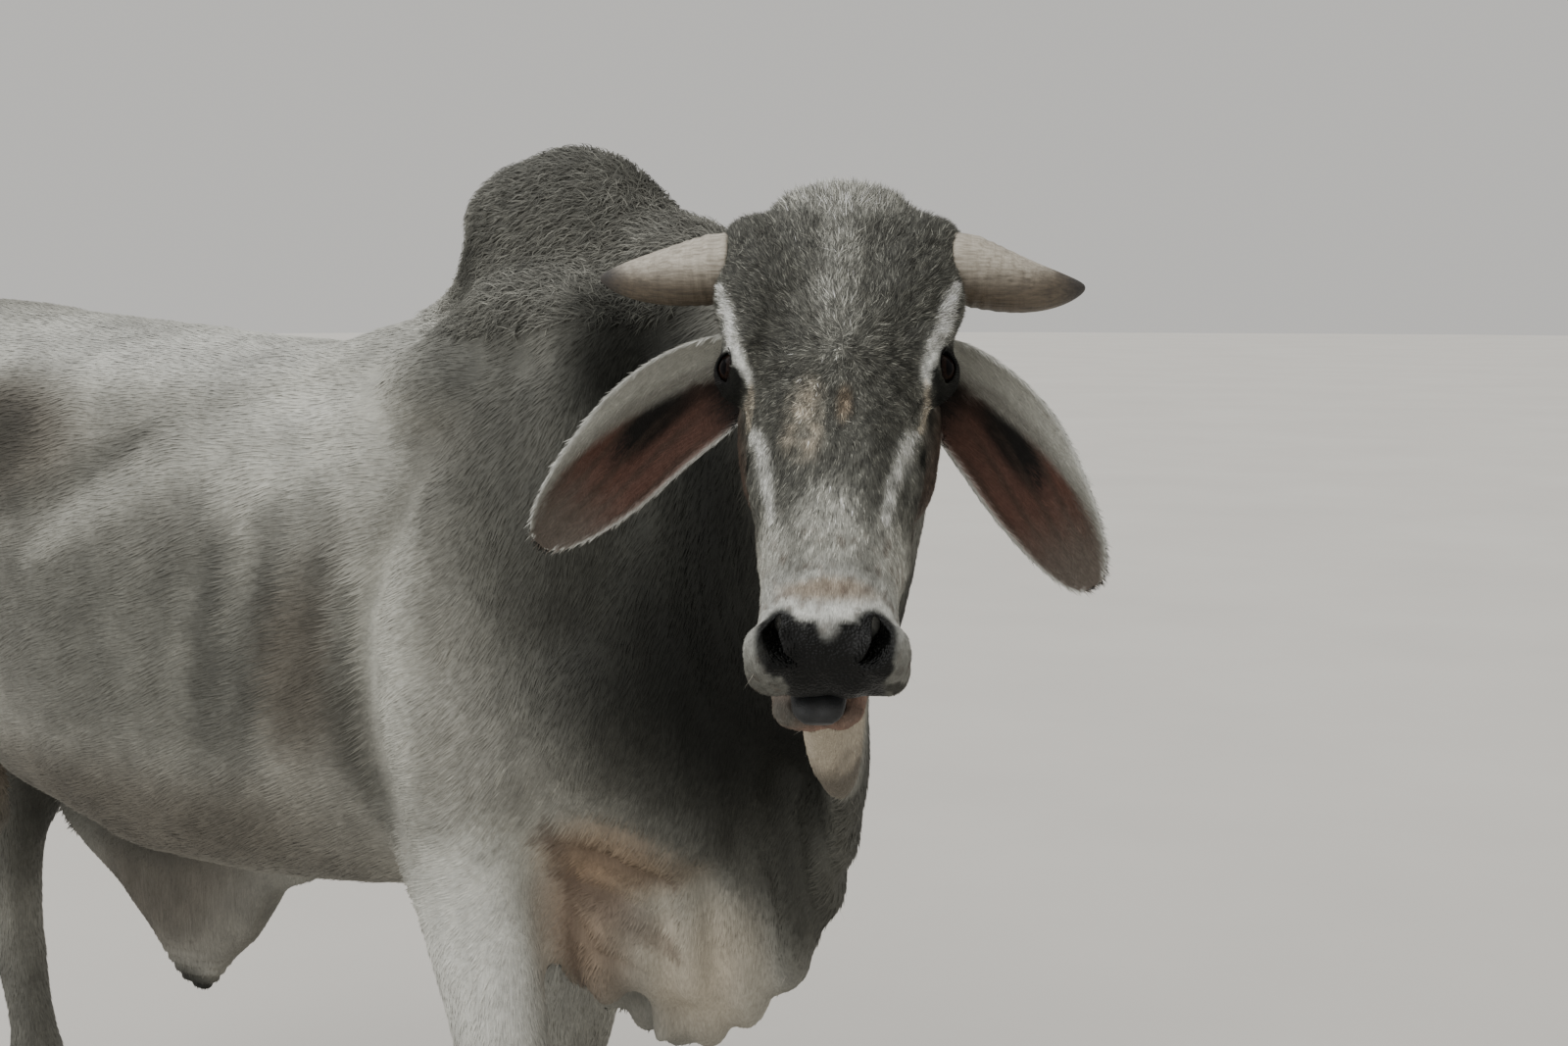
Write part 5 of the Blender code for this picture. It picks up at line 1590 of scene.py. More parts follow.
def coat(name, share, facts, settings, seed):
    """One part of the coat: tufts that lie along the skin and overlap like thatch."""
    tufts, length, half, thick, rise, stray, speckle, stations = COATS[name]
    count = int(tufts * settings.tufts)
    rng = np.random.default_rng(seed)
    places, normals, ears, flat = scattered(facts, share, count, rng)
    forward = lie(places, normals, ears, stray, rng)
    size = rng.uniform(0.65, 1.2, count) * settings.hair
    on = head_places(places)
    head = head_share(places)
    near_eye = blob(mirrored(on), EYE_AT, (0.05, 0.05, 0.05)) * head
    muzzle = ease(on[:, 0], 0.42, 0.48) * head
    poll = blob(on, (0.0, 0.0, -0.03), (0.09, 0.15, 0.10)) * head
    # Short hair on the thin skin of dewlap and sheath
    x, y, z = places.T
    curtains = ((x > 0.08) | ((x < -0.5) & (x > -0.95))) * (np.abs(y) < 0.12)
    size *= 1.0 - 0.55 * (1.0 - ease(z, 0.62, 0.70)) * curtains
    size *= (1.0 - 0.7 * near_eye) * (1.0 - 0.45 * muzzle) * (1.0 + 0.5 * poll)
    lift = rise * (1.0 + 0.4 * poll) * rng.uniform(0.6, 1.3, count)
    speckled = np.full(count, speckle)
    if name == "coat_forehead":
        near_bridge = ease(on[:, 0], 0.19, 0.30)
        size *= 1.0 - 0.45 * near_bridge
        lift *= 1.0 - 0.60 * near_bridge
    if name == "coat_face":
        speckled += 0.30 * (1.0 - ease(on[:, 0], 0.36, 0.45)) * ease(on[:, 2], -0.10, -0.04)
    long = (length * size)[:, None]
    spine = [places - normals * thick * 0.8]
    for k in range(1, stations + 1):
        t = k / stations
        climb = (lift * (t if stations == 1 else math.sin(t * 2.2) / 0.81 * 0.75))[:, None]
        spine.append(places + forward * long * t + normals * long * climb)
    colours = markings(places, ears) * np.exp(rng.normal(0.0, 1.0, count) * speckled)[:, None]
    return tuft_mesh(
        name, np.stack(spine, axis=1), np.cross(forward, normals), normals,
        half * np.sqrt(size), np.full(count, thick), colours, flat,
    )


# Finishes


STRAIGHT = (0.0, 0.0, 0.0)
MULTIPLY = {"data_type": "RGBA", "blend_type": "MULTIPLY"}
MIX = {"data_type": "RGBA", "blend_type": "MIX"}


def fill(tree, node, inputs):
    """Gives a node's inputs their values or links."""
    for key, value in inputs.items():
        if isinstance(value, bpy.types.NodeSocket):
            tree.links.new(value, node.inputs[key])
        else:
            node.inputs[key].default_value = value


def blank(name):
    """A new material with its principled shader."""
    material = bpy.data.materials.new(name)
    material.use_nodes = True
    return material, material.node_tree, material.node_tree.nodes["Principled BSDF"]


def add(tree, kind, settings=None, inputs=None, stops=(), out=0):
    """Adds a node with its settings, inputs and colour stops, and returns one of its outputs."""
    made = tree.nodes.new("ShaderNode" + kind)
    for key, value in (settings or {}).items():
        setattr(made, key, value)
    fill(tree, made, inputs or {})
    if stops:
        elements = made.color_ramp.elements
        elements[0].position, elements[-1].position = stops[0][0], stops[-1][0]
        elements[0].color, elements[-1].color = shade(stops[0][1]), shade(stops[-1][1])
        for position, code in stops[1:-1]:
            elements.new(position).color = shade(code)
    return made.outputs[out]


def grained(tree, place, turn, size, detail=3.0, roughness=0.6):
    """Noise whose grain has the given size in metres along each axis of a turned frame."""
    sizes = {"Vector": place, "Rotation": turn, "Scale": size}
    turned = add(tree, "Mapping", {"vector_type": "TEXTURE"}, sizes)
    values = {"Scale": 1.0, "Detail": detail, "Roughness": roughness, "Vector": turned}
    return add(tree, "TexNoise", inputs=values)


def hide_finish(roughness):
    """Short cattle hair over hide: dull, with fine streaks along the lie, and a moist nose."""
    material, tree, shader = blank("Short cattle hair over hide")
    place = add(tree, "TexCoord", out="Object")
    marks = add(tree, "Attribute", {"attribute_name": "markings"})
    kinds = add(tree, "Attribute", {"attribute_name": "grain"})
    upright, face, bare = add(tree, "SeparateColor", inputs={"Color": kinds}).node.outputs
    # Locks of hair about 3 mm wide and 30 mm long, drawn coarser than single hairs
    level = grained(tree, place, (0.0, -0.34, 0.0), (0.030, 0.0032, 0.0032))
    hanging = grained(tree, place, STRAIGHT, (0.0032, 0.0032, 0.030))
    # The face's hair is half as coarse, and runs down the face
    facing = grained(tree, place, (0.0, FACE_SLOPE, HEAD_TURN), (0.008, 0.0016, 0.0016))
    streaks = add(tree, "Mix", MIX, {0: upright, 6: level, 7: hanging}, out=2)
    streaks = add(tree, "Mix", MIX, {0: face, 6: streaks, 7: facing}, out=2)
    # Cobbles of the nose pad, 3 mm across
    cells = {"Vector": place, "Scale": 330.0, "Randomness": 0.9}
    cobbles = add(tree, "TexVoronoi", inputs=cells, out="Distance")
    domes = add(tree, "Math", {"operation": "MULTIPLY"}, {0: cobbles, 1: -0.8})
    height = add(tree, "Mix", MIX, {0: bare, 6: streaks, 7: domes}, out=2)
    relief = add(tree, "Bump", inputs={"Strength": 0.8, "Distance": 0.0022, "Height": height})
    tone = add(tree, "ValToRGB", inputs={"Fac": streaks}, stops=((0.30, "#c4c4c4"), (0.70, "#ffffff")))
    coloured = add(tree, "Mix", MULTIPLY, {0: 0.75, 6: marks, 7: tone}, out=2)
    rough = add(tree, "MapRange", inputs={"Value": bare, "To Min": roughness, "To Max": 0.30})
    fill(tree, shader, {
        "Base Color": coloured, "Roughness": rough, "Normal": relief, "Specular IOR Level": 0.18,
    })
    return material


def coat_finish():
    """Cattle hair in tufts: fine keratin fibres, nearly matt together."""
    material, tree, shader = blank("Cattle hair in tufts")
    place = add(tree, "TexCoord", out="Object")
    marks = add(tree, "Attribute", {"attribute_name": "markings"})
    # Clumps about 8 mm across, a little lighter and darker
    clumps = grained(tree, place, STRAIGHT, (0.008,) * 3, 2.0)
    tone = add(tree, "ValToRGB", inputs={"Fac": clumps}, stops=((0.32, "#d2d0cd"), (0.68, "#ffffff")))
    coloured = add(tree, "Mix", MULTIPLY, {0: 0.6, 6: marks, 7: tone}, out=2)
    fill(tree, shader, {"Base Color": coloured, "Roughness": 0.60, "Specular IOR Level": 0.16})
    return material


def hair_finish(name, code, light):
    """Long hair: smooth, so that it catches narrow lights along its length."""
    material, tree, shader = blank(name)
    place = add(tree, "TexCoord", out="Object")
    # Hairs drawn 1.5 mm apart, running down
    hairs = grained(tree, place, STRAIGHT, (0.0015, 0.0015, 0.055), 2.0)
    tone = add(tree, "ValToRGB", inputs={"Fac": hairs}, stops=((0.35, code), (0.75, light)))
    relief = add(tree, "Bump", inputs={"Strength": 0.7, "Distance": 0.0008, "Height": hairs})
    fill(tree, shader, {"Base Color": tone, "Roughness": 0.42, "Normal": relief, "IOR": 1.55})
    return material


def horn_finish():
    """Grown horn: matt, pale above and dark brown beneath, with grown rings and splits, dark at the
    tip.
    """
    material, tree, shader = blank("Cattle horn, pale above and dark beneath")
    spot = add(tree, "Attribute", {"attribute_name": "horn_place"}, out="Vector")
    along, _, above = add(tree, "SeparateXYZ", inputs={"Vector": spot}).node.outputs
    place = add(tree, "TexCoord", out="Object")
    # Splits run the horn's length, about 2 mm apart; growth rings are 6 mm apart near the root
    splits = grained(tree, place, (0.0, 0.0, HEAD_TURN), (0.0030, 0.045, 0.0030), 6.0, 0.70)
    rings = grained(tree, spot, STRAIGHT, (0.050, 1.6, 1.6), 3.0)
    # Pale on the upper side and dark brown on the underside, by which way the surface faces
    horn_stops = ((0.30, "#877e6f"), (0.50, "#b4ac9d"), (0.66, "#d2cbbd"))
    pale = add(tree, "ValToRGB", inputs={"Fac": splits}, stops=horn_stops)
    under = add(tree, "ValToRGB", inputs={"Fac": splits}, stops=((0.30, "#352d24"), (0.66, "#665a49")))
    sides = add(tree, "Mix", MIX, {0: above, 6: under, 7: pale}, out=2)
    ringed = add(tree, "ValToRGB", inputs={"Fac": rings}, stops=((0.30, "#a8a39c"), (0.55, "#ffffff")))
    sides = add(tree, "Mix", MULTIPLY, {0: 0.28, 6: sides, 7: ringed}, out=2)
    tip = add(tree, "MapRange", inputs={"Value": along, "From Min": 0.74, "From Max": 0.93})
    dark = add(tree, "ValToRGB", inputs={"Fac": splits}, stops=((0.35, "#211d1a"), (0.70, "#3a332d")))
    coloured = add(tree, "Mix", MIX, {0: tip, 6: sides, 7: dark}, out=2)
    grown = add(tree, "Math", {"operation": "MULTIPLY"}, {0: rings, 1: 0.8})
    height = add(tree, "Math", {"operation": "ADD"}, {0: splits, 1: grown})
    relief = add(tree, "Bump", inputs={"Strength": 0.75, "Distance": 0.0016, "Height": height})
    fill(tree, shader, {"Base Color": coloured, "Roughness": 0.50, "Normal": relief, "IOR": 1.54})
    return material


def eye_finish(iris_light):
    """A moist bull's eye: a near-black brown iris and a long level pupil, wet and clear."""
    material, tree, shader = blank("Moist cornea over a dark brown iris")
    spot = add(tree, "Attribute", {"attribute_name": "eye_place"}, out="Vector")
    # In eyeball radii: x along the lids, y up, z out
    away, pupil = (
        add(tree, "VectorMath", {"operation": "LENGTH"}, {
            0: add(tree, "Mapping", inputs={"Vector": spot, "Scale": (1.0, tall, 0.0)})
        }, out="Value")
        for tall in (1.0, 2.1)
    )
    fibres = grained(tree, spot, STRAIGHT, (0.07, 0.07, 0.5), 4.0)
    iris = add(tree, "ValToRGB", inputs={"Fac": fibres}, stops=((0.30, "#0f0a08"), (0.70, iris_light)))
    white = add(tree, "ValToRGB", inputs={"Fac": away}, stops=((0.62, "#0b0908"), (0.85, "#231c19")))
    rim = add(tree, "MapRange", inputs={"Value": away, "From Min": 0.56, "From Max": 0.66})
    ball = add(tree, "Mix", MIX, {0: rim, 6: iris, 7: white}, out=2)
    hole = add(tree, "MapRange", inputs={"Value": pupil, "From Min": 0.42, "From Max": 0.47})
    coloured = add(tree, "Mix", MIX, {0: hole, 6: shade("#060506"), 7: ball}, out=2)
    fill(tree, shader, {
        "Base Color": coloured, "Roughness": 0.05, "IOR": 1.376, "Specular IOR Level": 0.08,
    })
    return material


def claw_finish():
    """Hoof horn, grown and scuffed: near black, with fine rings and grey scuffs near the ground."""
    material, tree, shader = blank("Scuffed black hoof horn")
    place = add(tree, "TexCoord", out="Object")
    # Rings 5 mm apart, waving a little
    rings = grained(tree, place, (0.0, 0.12, 0.0), (0.11, 0.11, 0.0045), 3.0)
    scuffs = grained(tree, place, STRAIGHT, (0.014,) * 3, 6.0, 0.7)
    base = add(tree, "ValToRGB", inputs={"Fac": rings}, stops=((0.30, "#171514"), (0.72, "#35302c")))
    dust = add(tree, "ValToRGB", inputs={"Fac": scuffs}, stops=((0.52, "#171514"), (0.74, "#6b6259")))
    lighter = {"data_type": "RGBA", "blend_type": "LIGHTEN"}
    coloured = add(tree, "Mix", lighter, {0: 0.45, 6: base, 7: dust}, out=2)
    height = add(tree, "Math", {"operation": "ADD"}, {0: rings, 1: scuffs})
    relief = add(tree, "Bump", inputs={"Strength": 0.6, "Distance": 0.0012, "Height": height})
    fill(tree, shader, {"Base Color": coloured, "Roughness": 0.46, "Normal": relief, "IOR": 1.54})
    return material


def tongue_finish():
    """A moist tongue: blue-grey, with fine blunt papillae 1 mm apart."""
    material, tree, shader = blank("Moist blue-grey tongue")
    place = add(tree, "TexCoord", out="Object")
    bumps = add(tree, "TexVoronoi", inputs={"Vector": place, "Scale": 900.0}, out="Distance")
    clouds = grained(tree, place, STRAIGHT, (0.016,) * 3, 3.0)
    tone = add(tree, "ValToRGB", inputs={"Fac": clouds}, stops=((0.30, "#17191b"), (0.70, "#2c2d2e")))
    relief = add(tree, "Bump", inputs={"Strength": 0.5, "Distance": 0.0006, "Height": bumps})
    fill(tree, shader, {
        "Base Color": tone, "Roughness": 0.34, "Normal": relief, "IOR": 1.4,
        "Subsurface Weight": 0.08, "Subsurface Radius": (0.004, 0.002, 0.0015),
    })
    return material


def floor_finish(colour):
    """A studio floor of matt painted boards seen from far: nearly even, with the faintest mottle."""
    material, tree, shader = blank("Matt pale studio paint")
    place = add(tree, "TexCoord", out="Object")
    clouds = grained(tree, place, STRAIGHT, (1.6,) * 3, 4.0)
    soft = add(tree, "ValToRGB", inputs={"Fac": clouds}, stops=((0.2, "#f2f2f2"), (0.8, "#ffffff")))
    coloured = add(tree, "Mix", MULTIPLY, {0: 1.0, 6: colour, 7: soft}, out=2)
    fill(tree, shader, {"Base Color": coloured, "Roughness": 0.85})
    return material


# The other pieces


HORN_STEPS = 60
CLAW_STATIONS = (  # height, ahead, half length, half width
    (0.000, 0.032, 0.066, 0.0265),
    (0.004, 0.0315, 0.068, 0.0272),
    (0.012, 0.030, 0.067, 0.0275),
    (0.026, 0.026, 0.0625, 0.0270),
    (0.040, 0.022, 0.058, 0.0265),
    (0.055, 0.018, 0.054, 0.0258),
    (0.070, 0.014, 0.050, 0.025),
)
TONGUE_STATIONS = (  # along, half width, out, half height
    (0.490, 0.020, -0.104, 0.0026),
    (0.502, 0.024, -0.104, 0.0042),
    (0.515, 0.026, -0.104, 0.0060),
    (0.525, 0.0272, -0.1035, 0.0078),
    (0.535, 0.027, -0.103, 0.0090),
    (0.544, 0.0258, -0.1034, 0.0091),
    (0.550, 0.024, -0.104, 0.0086),
    (0.555, 0.020, -0.105, 0.0070),
    (0.559, 0.014, -0.106, 0.0046),
)


def horn(side):
    """A short horn, thick and ringed at the root, going outwards with a slight droop."""
    root = on_head(HORN_ROOT[0], HORN_ROOT[1] * SIDES[side], HORN_ROOT[2])
    outward = HEAD[1] * SIDES[side]
    points, radii = [], []
    for i in range(HORN_STEPS + 1):
        t = 0.20 + 0.80 * (1.0 - (1.0 - i / HORN_STEPS) ** 1.4)
        bare = max(0.0, (t - HORN_BURIED) / (1.0 - HORN_BURIED))
        droop = Z_AXIS * (HORN_DROOP[side] * math.sin(2.0 * bare))
        points.append(root + outward * (HORN_LENGTH * t) - droop)
        ringed = 0.0007 * math.sin(t * 88.0 + 0.7 * math.sin(t * 31.0)) * max(0.0, 1.0 - 1.5 * bare)
        taper = (1.0 - 0.72 * bare ** 1.6) * math.sqrt(max(0.0, 1.0 - bare ** 9)) + 0.012
        radii.append(HORN_RADIUS * taper + ringed)
    obj = lofted("horn_" + side, tube_rings(points, radii, 40))
    places = numbers(obj.data.vertices, "co")
    root, outward = np.array(root), np.array(outward)
    reach = (places - root) @ outward
    spokes = places - (root + outward * reach[:, None])
    length = reach / HORN_LENGTH
    away = np.linalg.norm(spokes, axis=1)
    bare = np.clip((length - HORN_BURIED) / (1.0 - HORN_BURIED), 0.0, 1.0)
    above = ease(spokes[:, 2] / away.clip(1e-6), -0.75, 0.35)
    angle = np.arctan2(spokes[:, 2], spokes @ np.array(FACING))
    around = 0.03 * np.column_stack((length, np.cos(angle), np.sin(angle)))
    uneven = 0.0006 * mottle(around, 0.010, 61) * (1.0 - bare)
    move_points(obj, places + spokes * (uneven / (away + 1e-6))[:, None])
    keep_vectors(obj.data, "horn_place", np.column_stack((bare, np.cos(angle), above)))
    return obj


def eye(side):
    """The eyeball, with the cornea's low bulge."""
    centre, facing, lengthways, above = eye_frame(side)
    bm = bmesh.new()
    bmesh.ops.create_uvsphere(bm, u_segments=72, v_segments=48, radius=1.0)
    turned = Matrix((lengthways, above, facing)).transposed()
    if turned.determinant() < 0.0:
        bmesh.ops.reverse_faces(bm, faces=bm.faces)
    obj = new_object("eye_" + side, bm)
    unit = numbers(obj.data.vertices, "co")
    away = np.hypot(unit[:, 0], unit[:, 1])
    bulge = 1.0 + 0.045 * np.exp(-((away / 0.55) ** 4)) * (unit[:, 2] > 0)
    keep_vectors(obj.data, "eye_place", unit)
    axes = np.array((lengthways, above, facing))
    move_points(obj, (unit * bulge[:, None] * EYE_RADIUS) @ axes + np.array(centre))
    return obj


def claw(name, foot_x, y, inward):
    """One claw of a cloven foot: a blunt wedge, flat under the sole and on its inner side."""
    rings = []
    for z, ahead, long, wide in CLAW_STATIONS:
        points = []
        for c, s in turns(48):
            reach = long * (s if s > 0 else s * 0.80)
            nose = max(0.0, s) ** 2
            across = wide * bowed(c, 0.8) * (1.0 - 0.42 * nose) + inward * wide * 0.35 * nose
            points.append(Vector((foot_x + ahead + reach, y + across, z)))
        rings.append(points)
    return lofted(name, rings)


def claws():
    """Two claws on each foot, with the node that each stands for."""
    for side, sign in SIDES.items():
        for pair, foot, stance in (
            ("fore", FORE_X[side], FORE_STANCE),
            ("hind", HIND_X[side], HIND_STANCE),
        ):
            for place, across in (("inner", -0.029 * sign), ("outer", 0.029 * sign)):
                node = f"claw_{pair}_{side}_{place}"
                yield claw(node, foot, sign * stance + across, -math.copysign(1.0, across)), node


def tongue():
    """The tip of the tongue, lying on the lower lip."""
    obj = lofted("tongue", [
        face_ring(along, -0.010, out, half, high, 2.2, 36)
        for along, half, out, high in TONGUE_STATIONS
    ])
    places = numbers(obj.data.vertices, "co")
    on = head_places(places)
    groove = 0.0016 * np.exp(-(((on[:, 1] + 0.010) / 0.004) ** 2)) * (on[:, 2] > -0.104)
    move_points(obj, places - groove[:, None] * np.array(HEAD[2]))
    return obj


def strands(name, starts, ways, lengths, sag, half, code, rng):
    """Single long hairs that leave along ways and sag under their own weight."""
    count, stations = len(starts), 3
    spine = [starts]
    way = unit_rows(ways)
    for _ in range(stations):
        spine.append(spine[-1] + way * (lengths / stations)[:, None])
        way = unit_rows(way + np.array((0.0, 0.0, -sag)) + rng.normal(0.0, 0.04, (count, 3)))
    side = unit_rows(np.cross(ways, (0.3, 0.2, 1.0)))
    rise = unit_rows(np.cross(side, ways))
    colours = np.tile(linear(code), (count, 1)) * rng.uniform(0.7, 1.3, (count, 1))
    flat = rng.uniform(0.05, 0.95, (count, 2))
    thin = np.full(count, half)
    return tuft_mesh(name, np.stack(spine, axis=1), side, rise, thin, thin, colours, flat)


def lashes(side, rng):
    """A row of dark lashes on the upper lid, and a thinner one beneath."""
    centre, facing, lengthways, above = (np.array(part) for part in eye_frame(side))
    starts, ways = [], []
    for lid, up, count in ((LID_UPPER, 0.55, 46), (-LID_LOWER, -0.5, 20)):
        for u in np.linspace(-0.88, 0.88, count):
            across = u * LID_LENGTH
            high = lid * (1.0 - u * u) ** 0.8 * 0.93
            out = math.sqrt(max(0.0, (EYE_RADIUS + 0.0022) ** 2 - across ** 2 - high ** 2))
            starts.append(centre + lengthways * across + above * high + facing * out)
            ways.append(facing * 0.9 + above * up + lengthways * u * 0.5)
    ways = np.array(ways) + rng.normal(0.0, 0.08, (len(ways), 3))
    lengths = rng.uniform(0.008, 0.014, len(starts))
    return strands("lashes_" + side, np.array(starts), ways, lengths, 0.06, 0.00030, BLACK, rng)


def whiskers(facts, rng):
    """Sparse stiff hairs on the muzzle, lips and chin."""
    places = facts[0].mean(axis=1)
    on = head_places(places)
    share = ease(on[:, 0], 0.45, 0.50) * (1.0 - bare_share(places)) * (on[:, 2] < -0.03)
    starts, out, *_ = scattered(facts, share, 90, rng)
    ways = out + rng.normal(0.0, 0.2, out.shape) + np.array((0.0, 0.0, -0.3))
    lengths = rng.uniform(0.010, 0.022, len(starts))
    return strands("whiskers", starts - out * 0.0006, ways, lengths, 0.05, 0.00016, PALE, rng)


def tail_hair(rng):
    """The tail's switch: long black locks that hang from the end of its dock."""
    low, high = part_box("tail_switch")
    middle = (low + high) / 2 - HOME
    count, stations, dock = 300, 6, 0.013
    around = rng.uniform(0.0, 2.0 * math.pi, count)
    reach = np.sqrt(rng.uniform(0.0, 1.0, count))
    starts = np.column_stack((
        middle.x + dock * reach * np.cos(around),
        middle.y + dock * reach * np.sin(around),
        high.z - rng.uniform(0.0, 0.10, count),
    ))
    lengths = (starts[:, 2] - low.z) * rng.uniform(0.62, 0.985, count) * (1.0 - 0.10 * reach)
    spine = [starts]
    belly = min(high.x - low.x, high.y - low.y) * 0.46
    wave = rng.uniform(0.0, 2.0 * math.pi, count)
    for k in range(1, stations + 1):
        t = k / stations
        spread = dock + (belly - dock) * math.sin(math.pi * min(1.0, t * 1.1) ** 0.9)
        x = middle.x + np.cos(around) * reach * spread + 0.004 * np.sin(wave + 5.0 * t)
        y = middle.y + np.sin(around) * reach * spread + 0.004 * np.cos(wave * 1.7 + 4.0 * t)
        spine.append(np.column_stack((x, y, starts[:, 2] - lengths * t)))
    level = np.zeros(count)
    out = np.column_stack((np.cos(around), np.sin(around), level))
    side = np.column_stack((np.sin(around), -np.cos(around), level))
    browned = rng.uniform(0.0, 1.0, (count, 1)) ** 2
    colours = blended(linear(BLACK), linear(BROWN), browned)
    flat = rng.uniform(0.05, 0.95, (count, 2))
    half, thick = np.full(count, 0.0036), np.full(count, 0.0024)
    return tuft_mesh("tail_hair", np.stack(spine, axis=1), side, out, half, thick, colours, flat)


HIDE_NODES = (
    "head", "neck", "torso", "dewlap", "sheath", "ear_right", "ear_left", "foreleg_right",
    "foreleg_left", "hindleg_right", "hindleg_left", "tail_upper", "tail_lower",
)


# Values that a user would change


def colour(name, description, code):
    """A colour that a user may change, with its default as a hex code."""
    start = tuple(float(part) for part in linear(code))
    return FloatVectorProperty(
        name=name, description=description, subtype="COLOR", size=3, default=start
    )


def light(name, description, start):
    """The strength of a light, which a user may change."""
    return FloatProperty(name=name, description=description, default=start, min=0.0)


class BullSettings(bpy.types.PropertyGroup):
    roughness: FloatProperty(
        name="Hide roughness",
        description="Roughness of the haired hide",
        default=0.66, min=0.0, max=1.0,
    )
    tufts: FloatProperty(
        name="Coat share", description="Share of the tufts that grow", default=1.0, min=0.05, max=1.0
    )
    hair: FloatProperty(
        name="Hair length",
        description="Length of the tufts against a summer coat",
        default=1.0, min=0.2, max=2.0,
    )
    iris: colour("Iris", "Lightest colour of the iris", "#241812")
    seed: IntProperty(name="Seed", description="Start of the scatter of the coat", default=7, min=0)


class StageSettings(bpy.types.PropertyGroup):
    floor: colour("Floor", "Colour of the floor", "#d9d6d0")
    key: light("Key light", "Strength of the broad light from above", 1.45)
    side: light("Side light", "Strength of the soft light from the left", 0.95)
    sky: light("Sky", "Strength of the light from all round", 0.80)


# Operators


class BULL_OT_hide(bpy.types.Operator):
    """Makes the skin with its folds, lids, nostrils, lips, ears and tail, and marks it"""

    bl_idname = "bull.hide"
    bl_label = "Hide"

    def execute(self, context):
        hide = build_hide()
        unwrapped(hide)
        mesh = hide.data
        places = numbers(mesh.vertices, "co")
        ears = ear_places(places)
        painted(mesh, markings(places, ears))
        head = head_share(places)
        on_neck = ease(places[:, 0], -0.05, 0.20) * (1.0 - head)
        upright = np.maximum(on_neck, 1.0 - ease(places[:, 2], 0.55, 0.75))
        keep_colours(mesh, "grain", np.column_stack((upright, head, bare_share(places))))
        mask = mesh.attributes.new("ear", "FLOAT", "POINT")
        mask.data.foreach_set("value", ears[:, 0].astype(np.float32))
        keep_vectors(mesh, "ear_place", ears[:, 1:])
        finished(hide, hide_finish(context.scene.bull.roughness), "hide_torso", *HIDE_NODES)
        return {"FINISHED"}


class BULL_OT_coat(bpy.types.Operator):
    """Grows the coat's tufts over the skin"""

    bl_idname = "bull.coat"
    bl_label = "Coat"

    def execute(self, context):
        settings = context.scene.bull
        facts = hide_facts()
        shares = region_shares(facts[0].mean(axis=1), facts[2].mean(axis=1))
        material = coat_finish()
        for i, name in enumerate(COATS):
            tufts = coat(name, shares[name], facts, settings, settings.seed + i)
            finished(tufts, material, "hide_torso")
        return {"FINISHED"}


class BULL_OT_horns(bpy.types.Operator):
    """Makes the two short horns"""

    bl_idname = "bull.horns"
    bl_label = "Horns"

    def execute(self, context):
        material = horn_finish()
        for side in SIDES:
            finished(horn(side), material, "horn", "horn_" + side)
        return {"FINISHED"}


class BULL_OT_eyes(bpy.types.Operator):
    """Makes the eyeballs and their lashes"""

    bl_idname = "bull.eyes"
    bl_label = "Eyes"

    def execute(self, context):
        rng = np.random.default_rng(context.scene.bull.seed + 40)
        ball = eye_finish((*context.scene.bull.iris, 1.0))
        dark = hair_finish("Black lash hair", "#0d0b0b", "#2a2523")
        for side in SIDES:
            finished(eye(side), ball, "eye", "eye_" + side)
            finished(lashes(side, rng), dark, "long_hair")
        return {"FINISHED"}


class BULL_OT_mouth(bpy.types.Operator):
    """Makes the tongue's tip and the whiskers of the muzzle"""

    bl_idname = "bull.mouth"
    bl_label = "Mouth"

    def execute(self, context):
        rng = np.random.default_rng(context.scene.bull.seed + 50)
        finished(tongue(), tongue_finish(), "tongue", "tongue")
        pale = hair_finish("Pale whisker hair", "#8d877c", "#d0c9bb")
        finished(whiskers(hide_facts(), rng), pale, "long_hair")
        return {"FINISHED"}


class BULL_OT_feet(bpy.types.Operator):
    """Makes the claws of the four cloven feet"""

    bl_idname = "bull.feet"
    bl_label = "Feet"

    def execute(self, context):
        material = claw_finish()
        for piece, node in claws():
            finished(piece, material, "hoof", node)
        return {"FINISHED"}


class BULL_OT_tail(bpy.types.Operator):
    """Hangs the black locks of the tail's switch"""

    bl_idname = "bull.tail"
    bl_label = "Tail hair"

    def execute(self, context):
        rng = np.random.default_rng(context.scene.bull.seed + 60)
        dark = hair_finish("Black tail hair", "#121010", "#3d3631")
        finished(tail_hair(rng), dark, "long_hair", "tail_switch")
        return {"FINISHED"}


class BULL_OT_stage(bpy.types.Operator):
    """Sets the floor, the soft studio light and the camera at the photograph's angle"""

    bl_idname = "bull.stage"
    bl_label = "Stage"

    def execute(self, context):
        stage = context.scene.bull_stage
        bm = bmesh.new()
        bmesh.ops.create_circle(bm, cap_ends=True, cap_tris=False, segments=96, radius=60.0)
        floor = new_object("studio_floor", bm)
        floor.data.materials.append(floor_finish((*stage.floor, 1.0)))
        world = bpy.data.worlds.new("studio_air")
        world.use_nodes = True
        air = world.node_tree.nodes["Background"]
        air.inputs["Color"].default_value = shade("#e6e4e0")
        air.inputs["Strength"].default_value = stage.sky
        context.scene.world = world
        middle = Vector((0.2, 0.0, 1.1))
        lamp("overhead", middle + Vector((-1.4, -0.7, 3.4)), middle, stage.key)
        lamp("side", middle + Vector((-1.2, -5.0, 2.2)), middle, stage.side)
        photograph_camera(context)
        return {"FINISHED"}


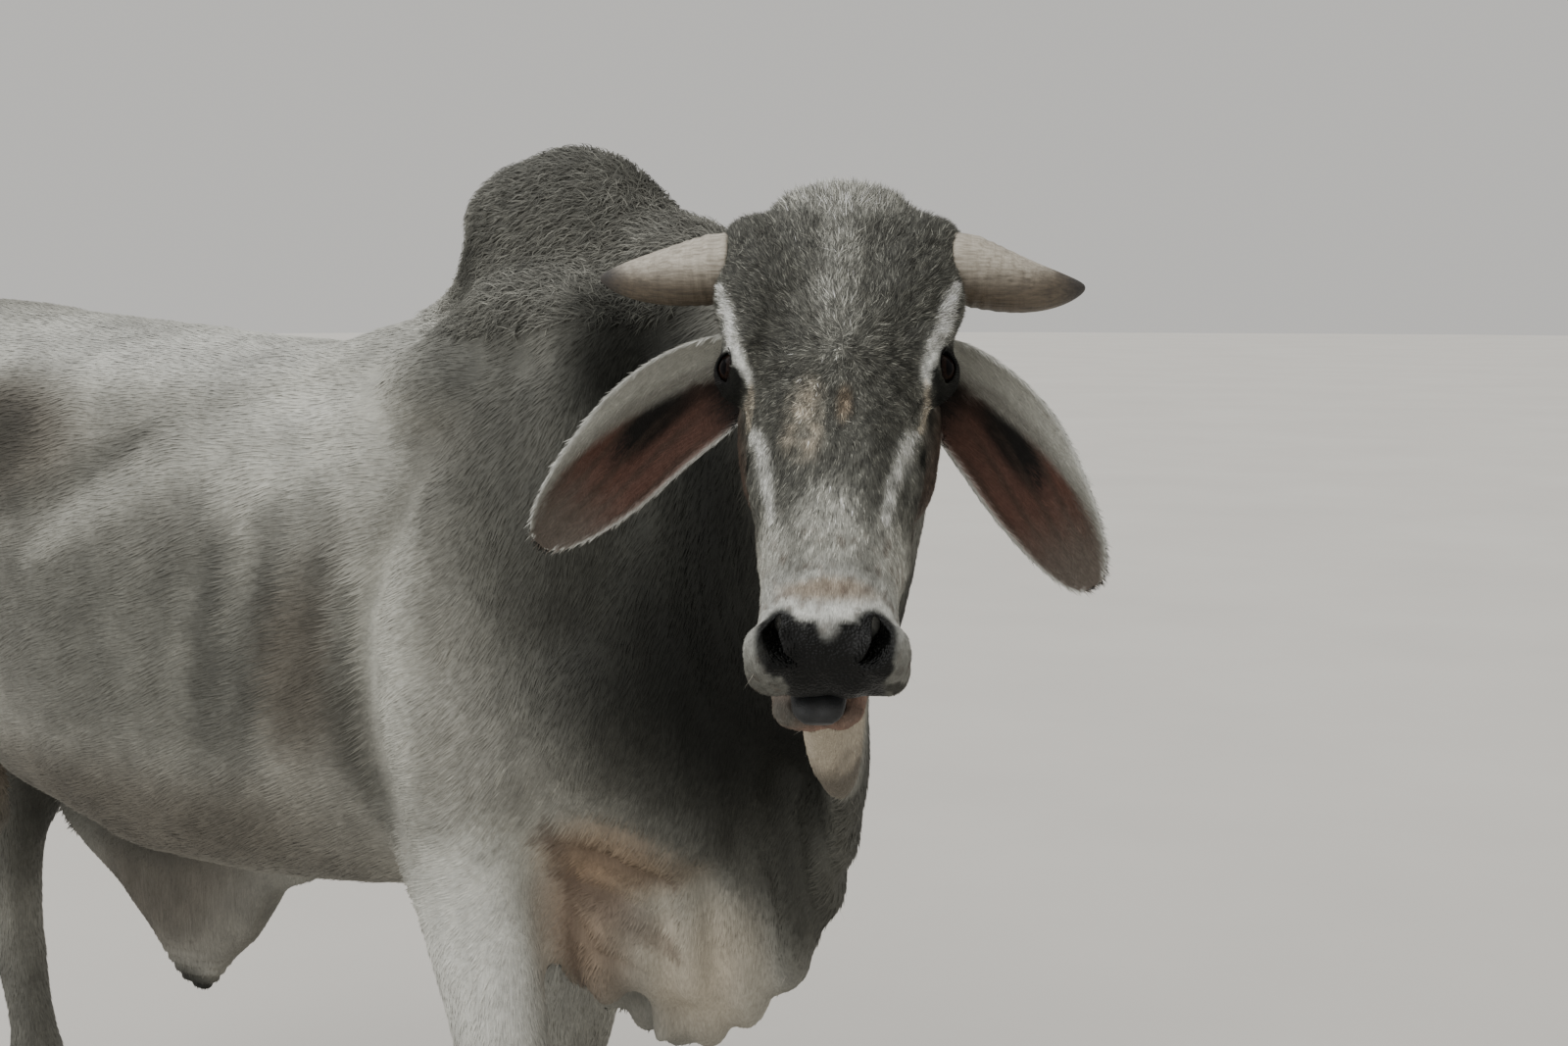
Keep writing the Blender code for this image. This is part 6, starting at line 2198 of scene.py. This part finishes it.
def lamp(name, place, target, energy):
    """A broad soft light that shines from a place towards a target."""
    data = bpy.data.lights.new(name, "SUN")
    data.angle = math.radians(60.0)
    data.energy = energy
    obj = linked(name, data)
    obj.location = place
    obj.rotation_euler = (target - place).to_track_quat("-Z", "Y").to_euler()


def photograph_camera(context):
    """The camera that sees the bull as the photograph does."""
    right = Vector((math.cos(CAMERA_TURN), math.sin(CAMERA_TURN), 0.0))
    ahead = Z_AXIS.cross(right)
    look = ahead * math.cos(CAMERA_DOWN) - Z_AXIS * math.sin(CAMERA_DOWN)
    data = bpy.data.cameras.new("photograph")
    data.lens = CAMERA_LENS
    data.sensor_width = 36.0
    data.clip_start = 0.05
    data.clip_end = 200.0
    obj = linked("photograph", data)
    obj.location = right * CAMERA_RIGHT - ahead * CAMERA_AWAY + Z_AXIS * CAMERA_HEIGHT + HOME
    obj.rotation_euler = look.to_track_quat("-Z", "Y").to_euler()
    context.scene.camera = obj


class BULL_PT_panel(bpy.types.Panel):
    """Lists the bull's pieces"""

    bl_idname = "BULL_PT_panel"
    bl_label = "Brahman Bull"
    bl_space_type = "VIEW_3D"
    bl_region_type = "UI"
    bl_category = "Bull"

    def draw(self, context):
        column = self.layout.column()
        for name in STEPS:
            column.operator("bull." + name)
        for settings in (context.scene.bull, context.scene.bull_stage):
            for key in settings.bl_rna.properties.keys():
                if key not in ("rna_type", "name"):
                    column.prop(settings, key)


STEPS = ("hide", "coat", "horns", "eyes", "mouth", "feet", "tail", "stage")
CLASSES = (
    BullSettings, StageSettings, BULL_OT_hide, BULL_OT_coat, BULL_OT_horns, BULL_OT_eyes,
    BULL_OT_mouth, BULL_OT_feet, BULL_OT_tail, BULL_OT_stage, BULL_PT_panel,
)


def register():
    for kind in CLASSES:
        bpy.utils.register_class(kind)
    bpy.types.Scene.bull = PointerProperty(type=BullSettings)
    bpy.types.Scene.bull_stage = PointerProperty(type=StageSettings)


def unregister():
    del bpy.types.Scene.bull_stage
    del bpy.types.Scene.bull
    for kind in reversed(CLASSES):
        bpy.utils.unregister_class(kind)


def main():
    register()
    for name in STEPS:
        getattr(bpy.ops.bull, name)()


if __name__ == "__main__":
    main()
